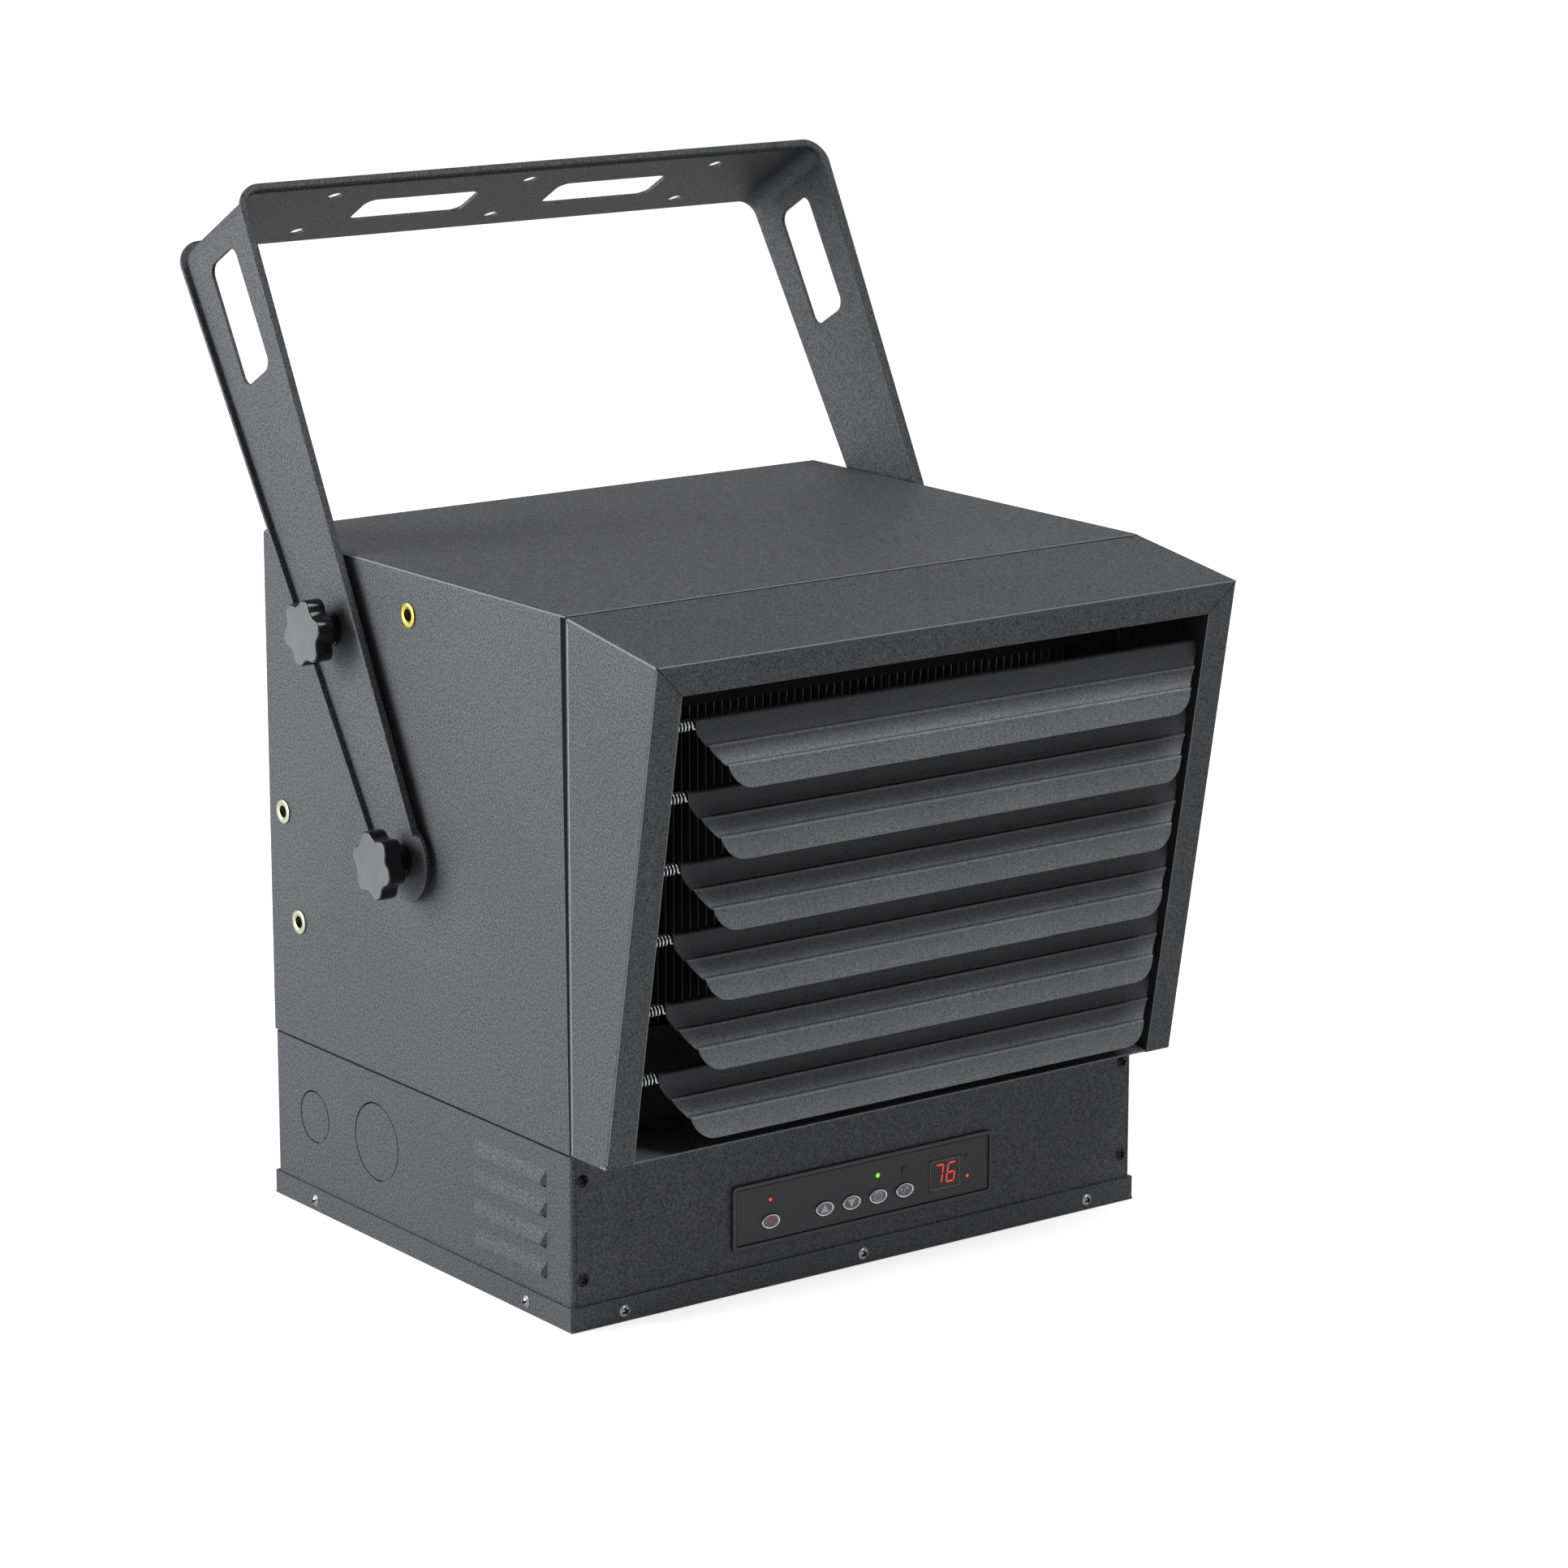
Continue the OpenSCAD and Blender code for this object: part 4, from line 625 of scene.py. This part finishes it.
bm = bmesh.new()
spots = [(0, 0)] + [around(nut["radius"], radians(a)) for a in nut["angles"]]
for mirror in (Matrix(), mirrorX):
    for i, (z, y) in enumerate(spots):
        place = mirror @ posed((-casing["half"], y, pivotZ + z), 90, "Y")
        finish = int(i >= nut["yellow"])
        skin(bm, turnedRings(nutProfile(nut), nut["around"], place),
             lambda row, point: finish if row < nut["boreRow"] else 2, False)
bmesh.ops.remove_doubles(bm, verts=bm.verts, dist=0.0005)
makePiece("rivetNuts", bm, [yellowZinc, paleZinc, threadShade], "casing",
          ["rivet_nuts"], 35)
print("rivet nuts made")


# Cross recess pan head screws, whose recess gets shallower outwards
screw = {"rings": 16, "around": 64, "recessWidth": 0.16, "recessLength": 0.62,
         "recessDeep": 0.7, "softSide": 0.3, "softEnd": 0.12, "shallower": 0.45,
         "underR": 0.97, "rim": 0.25, "dark": 0.55, "turn": 20}


# How far a point of the head lies inside the cross, from 0 to 1
def inCross(r, angle, headR, v):
    turned = angle - radians(v["turn"])
    across = r * min(abs(cos(turned)), abs(sin(turned)))
    width = headR * v["recessWidth"]
    end = headR * v["recessLength"] - r
    return (min(1, max(0, (width - across) / (v["softSide"] * width) + 0.5))
            * min(1, max(0, end / (v["softEnd"] * headR) + 0.5)))


def screwRings(headR, headH, shankR, shankLen, v):
    angles = turns(v["around"])
    dome = (headR * headR + headH * headH) / (2 * headH)
    low = [(shankR, -shankLen), (shankR, 0.0), (headR * v["underR"], 0.0)]
    rings = [[(*around(r, a), z) for a in angles] for r, z in low]
    shade = [[0.0] * len(angles) for _ in low]
    for i in range(v["rings"] + 1):
        r = max(headR * (1 - i / v["rings"]), 0.02)
        top = max(headH - dome + sqrt(dome * dome - r * r), v["rim"])
        inside = [inCross(r, a, headR, v) for a in angles]
        drop = headH * v["recessDeep"] * (1 - v["shallower"] * r / headR)
        rings.append([(*around(r, a), top - share * drop) for a, share in zip(angles, inside)])
        shade.append(inside)
    return rings, shade


# sizes are the head's radius and height and the shank's radius and length
def makeScrews(name, places, sizes, material, node):
    rings, shade = screwRings(*sizes, screw)
    bm = bmesh.new()
    for place in places:
        # faces deep in the cross recess get the painted recess shade
        skin(bm, [moved(place, ring) for ring in rings],
             lambda row, i: int(shade[min(row + 1, len(shade) - 1)][i] > screw["dark"]))
    makePiece(name, bm, [material, recessShade], "casing", [node])


tray = {"out": 1.3, "z": 6.2, "xs": (-166, 0, 166), "ys": (-112, 112)}
trayPlaces = ([posed((x, s * (casing["rear"] + tray["out"]), tray["z"]), -90 * s)
               for x in tray["xs"] for s in (-1, 1)]
              + [posed((s * (casing["half"] + tray["out"]), y, tray["z"]), 90 * s, "Y")
                 for y in tray["ys"] for s in (1, -1)])
makeScrews("trayScrews", trayPlaces, (3.5, 2.1, 1.95, 9), zincPlate, "tray_screws")
plate = {"x": 192.5, "zs": (29, 86)}
platePlaces = [posed((s * plate["x"], casing["front"], z), 90) for s in (-1, 1)
               for z in plate["zs"]]
makeScrews("plateScrews", platePlaces, (3.65, 2.2, 1.95, 8), blackOxide,
           "plate_screws")
guard = {"z": 251.3, "r": 142, "angles": (45, 135, 225, 315)}
guardPlaces = [posed((x, casing["rear"], guard["z"] + z), -90)
               for x, z in (around(guard["r"], radians(a)) for a in guard["angles"])]
makeScrews("guardScrews", guardPlaces, (3.8, 2.2, 1.95, 8), zincPlate, "guard_screws")
print("screws made")


# Spots on the fascia's face and on a side, from a place there and how far it stands proud
def onFascia(p, out):
    return fasciaFrame @ Vector((*p, out))


def onSide(sign):
    return lambda p, out: (sign * (casing["half"] + out), *p)


def cornersOf(x0, y0, x1, y1):
    return (x0, y0), (x1, y0), (x1, y1), (x0, y1)


# Mitre joints of the fascia: a fine line of shade where the folded strips butt, welded behind
mitre = {"width": 0.38, "levels": (-0.2, 0.025), "start": 0.5, "end": 17.9}
bm = bmesh.new()
for sign in (-1, 1):
    along = Vector((-sign, -1)).normalized()
    side = Vector((along.y, -along.x)) * mitre["width"] / 2
    corner = Vector((sign * casing["half"], 0))
    start, end = (corner + along * mitre[key] * sqrt(2) for key in ("start", "end"))
    prism(bm, [start - side, end - side, end + side, start + side], mitre["levels"], onFascia)
makePiece("mitreSeams", bm, [jointDirtAndShade])

# The side sheet's front edge rolls inward: a dark strip beside the hood that widens upwards,
# painted shade on the fold
sideFold = {"outline": ((-156, 102.4), (-154.9, 102.4), (-151.2, 400.8), (-156, 400.8)),
            "levels": (-0.3, 0.02)}
bm = bmesh.new()
for sign in (-1, 1):
    prism(bm, sideFold["outline"], sideFold["levels"], onSide(sign))
makePiece("paintedFoldShade", bm, [jointDirtAndShade])

# Painted highlights: pale strips on the folds and rolled edges, along the hood's rear edge and
# beside the outlet, where light would catch them. Each arc is the part of a fold that shows it, in
# degrees from its first face to its second. rearEdge is two corners (y, z) on the side, outletEdge
# a strip's distance beside the outlet, top, width and bottom
foldLine = {"hoodR": 1.8, "roofR": 1.6, "casingR": 2.4, "levels": (-0.3, 0.03), "steps": 4,
            "hoodArc": (22, 55), "fasciaArc": (35, 55), "noseArc": (35, 60), "roofArc": (45, 75),
            "casingArc": (30, 52), "hoodRear": (-157.4, 401.17), "fasciaLength": 286,
            "roofHalf": 198, "rearEdge": (-158.3, 103, -157.4, 398),
            "outletEdge": (0.15, -18.6, 0.4, -289.5)}


# Strip on a round fold: the fold's axis runs from start to end, and side and up are the outward
# directions of its two faces; the strip covers the angles from side towards up
def foldStrip(bm, start, end, side, up, r, part):
    side, up = Vector(side).normalized(), Vector(up).normalized()
    under, over = foldLine["levels"]
    angles = arc(*part, foldLine["steps"])
    section = [(r + over, a) for a in angles] + [(r + under, a) for a in reversed(angles)]
    skin(bm, [[p + d * (cos(a) * side + sin(a) * up) for d, a in section] for p in (start, end)])


bm = bmesh.new()
hoodRearY, hoodRearZ = foldLine["hoodRear"]
roofAngle = atan2(hoodRearZ - hood["topZ"], hoodRearY - hood["topY"])
roofUp = Vector((0, -sin(roofAngle), cos(roofAngle)))
facing = Vector((0, -cos(slope), -sin(slope)))
r = foldLine["hoodR"]
# the nose: the meeting of the roof's and the fascia's faces, both set back by the fold's radius
nose = Vector((0, hood["topY"], hood["topZ"])) - (roofUp + facing) * r / (1 + roofUp.dot(facing))
along = Vector((0, cos(roofAngle), sin(roofAngle)))
rear = nose + along * (hoodRearY - nose.y) / along.y
run = Vector((0, -sin(slope), cos(slope))) * foldLine["fasciaLength"]
for sign in (-1, 1):
    out = Vector((sign, 0, 0))
    shift = out * (casing["half"] - r)
    foldStrip(bm, nose + shift, rear + shift, out, roofUp, r, foldLine["hoodArc"])
    foldStrip(bm, nose + shift, nose + shift - run, out, facing, r, foldLine["fasciaArc"])
ends = [nose + Vector((sign * (casing["half"] - r), 0, 0)) for sign in (-1, 1)]
foldStrip(bm, *ends, facing, roofUp, r, foldLine["noseArc"])
r = foldLine["roofR"]
ends = [Vector((sign * foldLine["roofHalf"], casing["front"] + r, casing["top"] - r))
        for sign in (-1, 1)]
foldStrip(bm, *ends, (0, -1, 0), (0, 0, 1), r, foldLine["roofArc"])
r = foldLine["casingR"]
for sign in (-1, 1):
    ends = [Vector((sign * (casing["half"] - r), y, casing["top"] - r))
            for y in (casing["front"] + 1, casing["rear"])]
    foldStrip(bm, *ends, (sign, 0, 0), (0, 0, 1), r, foldLine["casingArc"])
    prism(bm, cornersOf(*foldLine["rearEdge"]), foldLine["levels"], onSide(sign))
    gap, top, width, bottom = foldLine["outletEdge"]
    near = sign * (hood["outletHalf"] + gap)
    prism(bm, cornersOf(near, top, near + sign * width, bottom), foldLine["levels"], onFascia)
makePiece("foldHighlightStrips", bm, [foldHighlightCoat])

# Bare flecks where the hood's lower corners have been knocked
fleck = {"count": 7, "size": 0.9, "seed": 5, "fromY": 0.6, "toY": 6.5, "fromZ": 0.3, "toZ": 1.2,
         "least": 0.35, "flat": 0.4, "ragged": 0.6, "levels": (-0.2, 0.03)}
chips = random.Random(fleck["seed"])
bm = bmesh.new()
for sign in (-1, 1):
    for _ in range(fleck["count"]):
        y = hood["bottomY"] + chips.uniform(fleck["fromY"], fleck["toY"])
        z = hood["bottomZ"] + chips.uniform(fleck["fromZ"], fleck["toZ"])
        r = fleck["size"] * chips.uniform(fleck["least"], 1)
        outline = [(y + r * cos(a) * chips.uniform(fleck["ragged"], 1),
                    z + fleck["flat"] * r * sin(a)) for a in arc(0, 300, 5)]
        prism(bm, outline, fleck["levels"], onSide(sign))
makePiece("cornerFlecks", bm, [bareFleck])

# Sheared tips of the fins, bare and bright along the top of the pack
tip = {"count": 55, "pitch": 5.5, "thick": 0.58, "front": -150.66, "back": -149.8,
       "levels": (337.2, 341.6)}
bm = bmesh.new()
for i in range(tip["count"]):
    x = (i - (tip["count"] - 1) / 2) * tip["pitch"]
    prism(bm, cornersOf(x - tip["thick"] / 2, tip["front"], x + tip["thick"] / 2, tip["back"]),
          tip["levels"], lambda p, z: (*p, z))
makePiece("finTips", bm, [bareShear])

# Control panel: buttons with printed signs, diodes and display
panel = {"x": 0.6, "z": 44, "face": 1.1, "crest": 2.28, "rx": 6.3, "rz": 4.3, "dz": -5.4,
         "xs": (-66.6, -28.6, -9.4, 9.6, 28.8), "hollowOut": 1.7, "hollowRise": 0.4,
         "stem": 2.3, "stemEnd": 4.4, "around": 60, "print": (-0.1, 0.04), "line": 0.42}


# Spot on the panel from across, up and outwards
def onPanel(x, z, out):
    return panel["x"] + x, casing["front"] - out, panel["z"] + z


# Height of a cap's shallow hollow, dx and dz from its middle
def hollowOut(dx, dz):
    share = (dx / panel["rx"]) ** 2 + (dz / panel["rz"]) ** 2
    return panel["hollowOut"] + panel["hollowRise"] * min(share, 1)


# Thin printed shape, its points about (x, z): flat at a level, or on the hollow of a cap
def printShape(bm, x, z, outline, index, level=None):
    def place(p, lift):
        out = hollowOut(*p) if level is None else level
        return onPanel(x + p[0], z + p[1], out + lift)
    prism(bm, outline, panel["print"], place, index)


def arcBand(r0, r1, fromDeg, toDeg, steps, midX=0, midZ=0):
    angles = arc(fromDeg, toDeg, steps)
    return [(midX + r * cos(a), midZ + r * sin(a))
            for r, part in ((r1, angles), (r0, reversed(angles))) for a in part]


def bar(x0, z0, x1, z1, width=panel["line"]):
    along = Vector((x1 - x0, z1 - z0)).normalized() * width / 2
    side = Vector((-along.y, along.x))
    return [(x0 - side.x, z0 - side.y), (x1 - side.x, z1 - side.y),
            (x1 + side.x, z1 + side.y), (x0 + side.x, z0 + side.y)]


# Signs printed on the caps: outlines in mm about each cap's middle
icons = {
    "power": ([arcBand(1.75, 2.45, 125, 415, 30), bar(0, 0.3, 0, 2.8, 0.75)], redInk),
    "up": ([[(-2.9, -2.2), (2.9, -2.2), (0, 2.8)]], whiteInk),
    "down": ([[(-2.9, 2.2), (0, -2.8), (2.9, 2.2)]], whiteInk),
    "timer": ([arcBand(2.4, 2.95, 0, 179, 18), arcBand(2.4, 2.95, 181, 359, 18),
               bar(0, -0.1, 0, 2.0), bar(-0.2, -0.1, 1.4, -0.1)], whiteInk),
    "unit": ([arcBand(0.42, 0.85, 0, 359, 14, -2.5, 0.9), bar(-0.9, -2, 0.9, 2),
              arcBand(0.42, 0.85, 0, 359, 14, 2.1, 0.9)], whiteInk),
}


# One moulding: stem, retaining flange, skirt, plated rim and the hollow of the cap
def makeButton(name, x, v):
    z, rx, rz, under, crest = v["dz"], v["rx"], v["rz"], -v["stem"], v["crest"]
    profile = [(1.4, 1.4, -v["stemEnd"]), (1.4, 1.4, under - 1), (rx + 1, rz + 1, under - 1),
               (rx + 1, rz + 1, under), (rx, rz, under), (rx, rz, v["face"] + 0.45),
               (rx - 0.1, rz - 0.1, crest - 0.25), (rx - 0.32, rz - 0.32, crest),
               (rx - 0.62, rz - 0.62, crest - 0.04), (rx - 0.86, rz - 0.86, crest - 0.3)]
    rimRows = range(5, len(profile) - 1)
    angles = turns(v["around"])
    rings = [[onPanel(x + a * cos(t), z + b * sin(t), out) for t in angles]
             for a, b, out in profile]
    for share in (1, 0.8, 0.6, 0.4, 0.2, 0.02):
        a, b = (rx - 0.9) * share, (rz - 0.9) * share
        rings.append([onPanel(x + a * cos(t), z + b * sin(t), hollowOut(a * cos(t), b * sin(t)))
                      for t in angles])
    bm = bmesh.new()
    skin(bm, rings, lambda row, i: int(row in rimRows))
    shapes, ink = icons[name]
    for outline in shapes:
        printShape(bm, x, z, outline, 2)
    makePiece("button" + name.title(), bm, [buttonLacquer, chromePlate, ink], "button_" + name,
              ["button_" + name], 45)


for name, x in zip(icons, panel["xs"]):
    makeButton(name, x, panel)

# The panel's rim: a black groove line at its foot, painted shade, and a paler line along its crest,
# painted highlight. Each is given by its distance from the edge, its width, its corners' radius and
# its height
rim = {"halfX": 93, "halfZ": 19, "groove": (2.45, 0.55, 1.6, panel["face"]),
       "shine": (1.15, 0.35, 2, 1.8), "over": 0.03, "under": 0.15, "leastR": 0.3, "around": 8}


def roundedLoop(inset, radius, out, v):
    points = []
    for quarter, (sx, sz) in enumerate(((1, 1), (-1, 1), (-1, -1), (1, -1))):
        for i in range(v["around"] + 1):
            a = radians(90 * (quarter + i / v["around"]))
            points.append(onPanel(sx * (v["halfX"] - inset - radius) + radius * cos(a),
                                  sz * (v["halfZ"] - inset - radius) + radius * sin(a), out))
    return points


def loopBand(name, inset, width, radius, out, material):
    low, high = out - rim["under"], out + rim["over"]
    bm = bmesh.new()
    skin(bm, [roundedLoop(inset + more, max(radius - more, rim["leastR"]), level, rim)
              for more, level in ((0, low), (0, high), (width, high), (width, low), (0, low))],
         0, False)
    bmesh.ops.remove_doubles(bm, verts=bm.verts, dist=0.0001)
    makePiece(name, bm, [material])


loopBand("rimGroove", *rim["groove"], jointDirtAndShade)
loopBand("rimShine", *rim["shine"], rimHighlightPlastic)

# Diodes: a lit core seen through the dome, the rim of the dome tinted and dark
diode = {"places": ((-66.6, 7.4), (9.8, 6.9), (74.8, -5.5), (74.8, 6)), "lit": (0, 1, 0, 2),
         "coreRow": 7, "around": 28}
dome = [(0.02, -4.2), (1.45, -4.2), (2.0, -3.2), (2.0, -2.2), (1.45, -2.2), (1.45, 0.95),
        (1.36, 1.22), (1.1, 1.42), (0.7, 1.52), (0.02, 1.55)]
bm = bmesh.new()
for (x, z), lit in zip(diode["places"], diode["lit"]):
    skin(bm, turnedRings(dome, diode["around"], posed(onPanel(x, z, 0), 90)),
         lambda row, i: lit if row >= diode["coreRow"] or lit == 1 else 2)
makePiece("panelDiodes", bm, [redGlow, greenGlow, darkLens], "casing",
          ["light_lenses"])

# Seven segment figures, a plain temperature
display = {"mid": (58.3, -1.4), "size": (21.4, 16.6), "digits": "76", "pitch": 9, "width": 5.5,
           "height": 11, "stroke": 0.9, "gap": 0.25, "lean": 9, "out": 1.42, "midZ": 0.6}
segments = {"a": ((0, 2), (1, 2)), "b": ((1, 2), (1, 1)), "c": ((1, 1), (1, 0)),
            "d": ((0, 0), (1, 0)), "e": ((0, 1), (0, 0)), "f": ((0, 2), (0, 1)),
            "g": ((0, 1), (1, 1))}
litSegments = {"7": "abc", "6": "acdefg"}


def segmentShape(start, end, left, v):
    unit = (v["width"], v["height"] / 2)
    p, q = (Vector((left + (c[0] - 0.5) * unit[0], (c[1] - 1) * unit[1])) for c in (start, end))
    along = (q - p).normalized()
    side = Vector((-along.y, along.x)) * v["stroke"] / 2
    p, q = p + along * v["gap"], q - along * v["gap"]
    tip = along * v["stroke"] / 2
    shape = [p, p + tip - side, q - tip - side, q, q - tip + side, p + tip + side]
    lean = tan(radians(v["lean"]))
    return [(c.x + lean * c.y, c.y) for c in shape]


midX, midZ = display["mid"]
bm = bmesh.new()
for i, digit in enumerate(display["digits"]):
    left = (i - 0.5) * display["pitch"]
    for key in litSegments[digit]:
        outline = segmentShape(*segments[key], left, display)
        printShape(bm, midX, midZ + display["midZ"], outline, 0, display["out"])
makePiece("displayFigures", bm, [redGlow])

bm = bmesh.new()
w, h = display["size"][0] / 2, display["size"][1] / 2
for ends in ((-w, -h, w, -h), (-w, h, w, h), (-w, -h, -w, h), (w, -h, w, h)):
    printShape(bm, midX, midZ, bar(*ends), 0, display["out"])
makePiece("displayBorder", bm, [lineInk])
print("control panel dressed")


# Camera at the photograph's angle, in metres
camera = {"lens": 116.84, "sensor": 36, "place": (-1.6824, -2.3567, 0.9437),
          "azimuth": -36.475, "elevation": 13.437, "clip": (0.1, 200)}
cameraData = bpy.data.cameras.new("photoCamera")
cameraData.lens = camera["lens"]
cameraData.sensor_width = camera["sensor"]
cameraData.clip_start, cameraData.clip_end = camera["clip"]
cameraObject = addObject("photoCamera", cameraData)
turn, rise = radians(camera["azimuth"]), radians(camera["elevation"])
back = Vector((sin(turn) * cos(rise), -cos(turn) * cos(rise), sin(rise)))
cameraObject.location = camera["place"]
cameraObject.rotation_mode = "QUATERNION"
cameraObject.rotation_quaternion = (-back).to_track_quat("-Z", "Y")
bpy.context.scene.camera = cameraObject

# Studio in metres: the lifts are the floor's glow near the object and far away, lower near it as
# painted shade round the object, and below keeps the floor out of the tray's plane
studio = {"near": 0.35, "far": 2.2, "nearLift": 0.68, "farLift": 0.95, "ambient": 0.04,
          "reflected": 0.45, "size": 40, "below": 0.0003}
# Matt white background paper
floorMaterial, tree, shader, place = startMaterial("studioFloor")
paper = addNode(tree, "TexNoise", {"Scale": 3, "Detail": 1}, {"Vector": place})
tone = addNode(tree, "MapRange", {"To Min": 0.86, "To Max": 0.9}, {"Value": paper})
shader.inputs["Roughness"].default_value = 0.9
shader.inputs["Specular IOR Level"].default_value = 0.1


# White where the camera looks straight or through glass, and a dimmer room in reflections
def seenDirectly(tree):
    rays = addNode(tree, "LightPath")
    mirrored = addNode(tree, "Math", {"operation": "MULTIPLY", 1: studio["reflected"]},
                       {0: rays.outputs["Is Glossy Ray"]})
    straight = addNode(tree, "Math", {"operation": "MAXIMUM"},
                       {0: rays.outputs["Is Camera Ray"], 1: rays.outputs["Is Transmission Ray"]})
    return addNode(tree, "Math", {"operation": "MAXIMUM"}, {0: straight, 1: mirrored})


# The paper's glow, full a step away from the object and lower under it: painted shade round the
# object
away = addNode(tree, "VectorMath", {"operation": "LENGTH"}, {0: place})
glow = addNode(tree, "MapRange", ranged(studio["near"], studio["far"], studio["nearLift"],
                                        studio["farLift"]), {"Value": away.outputs["Value"]})
lift = addNode(tree, "Math", {"operation": "MULTIPLY"}, {0: seenDirectly(tree), 1: glow})
shader.inputs["Emission Color"].default_value = (1, 1, 1, 1)
linkInputs(tree, shader, {"Base Color": tone, "Emission Strength": lift})
bm = bmesh.new()
bmesh.ops.create_grid(bm, x_segments=8, y_segments=8, size=studio["size"] / 2)
floorMesh = bpy.data.meshes.new("studioFloor")
bm.to_mesh(floorMesh)
bm.free()
floorMesh.materials.append(floorMaterial)
floor = addObject("studioFloor", floorMesh)
floor.location.z = -studio["below"]

world = bpy.data.worlds.new("studioWorld")
bpy.context.scene.world = world
world.use_nodes = True
tree = world.node_tree
background = tree.nodes["Background"]
background.inputs["Color"].default_value = (1, 1, 1, 1)
strength = addNode(tree, "MapRange", {"To Min": studio["ambient"], "To Max": 1.0},
                   {"Value": seenDirectly(tree)})
linkInputs(tree, background, {"Strength": strength})

lamps = {
    "keySoftbox": {"place": (-2.5, 1.2, 1.0), "aim": (0, 0, 0.25), "size": 1.8, "power": 92},
    "topSoftbox": {"place": (0.45, -1.05, 2.65), "aim": (0, -0.1, 0.3), "size": 1.4, "power": 38},
    "fillSoftbox": {"place": (2.4, -2.2, 0.9), "aim": (0, 0, 0.25), "size": 1.8, "power": 4},
}
for name, values in lamps.items():
    light = bpy.data.lights.new(name, "AREA")
    light.shape = "SQUARE"
    light.size = values["size"]
    light.energy = values["power"]
    lamp = addObject(name, light)
    lamp.location = values["place"]
    lamp.rotation_mode = "QUATERNION"
    aim = Vector(values["aim"]) - Vector(values["place"])
    lamp.rotation_quaternion = aim.to_track_quat("-Z", "Y")

bpy.context.scene.view_settings.view_transform = "Standard"
print("stage set")
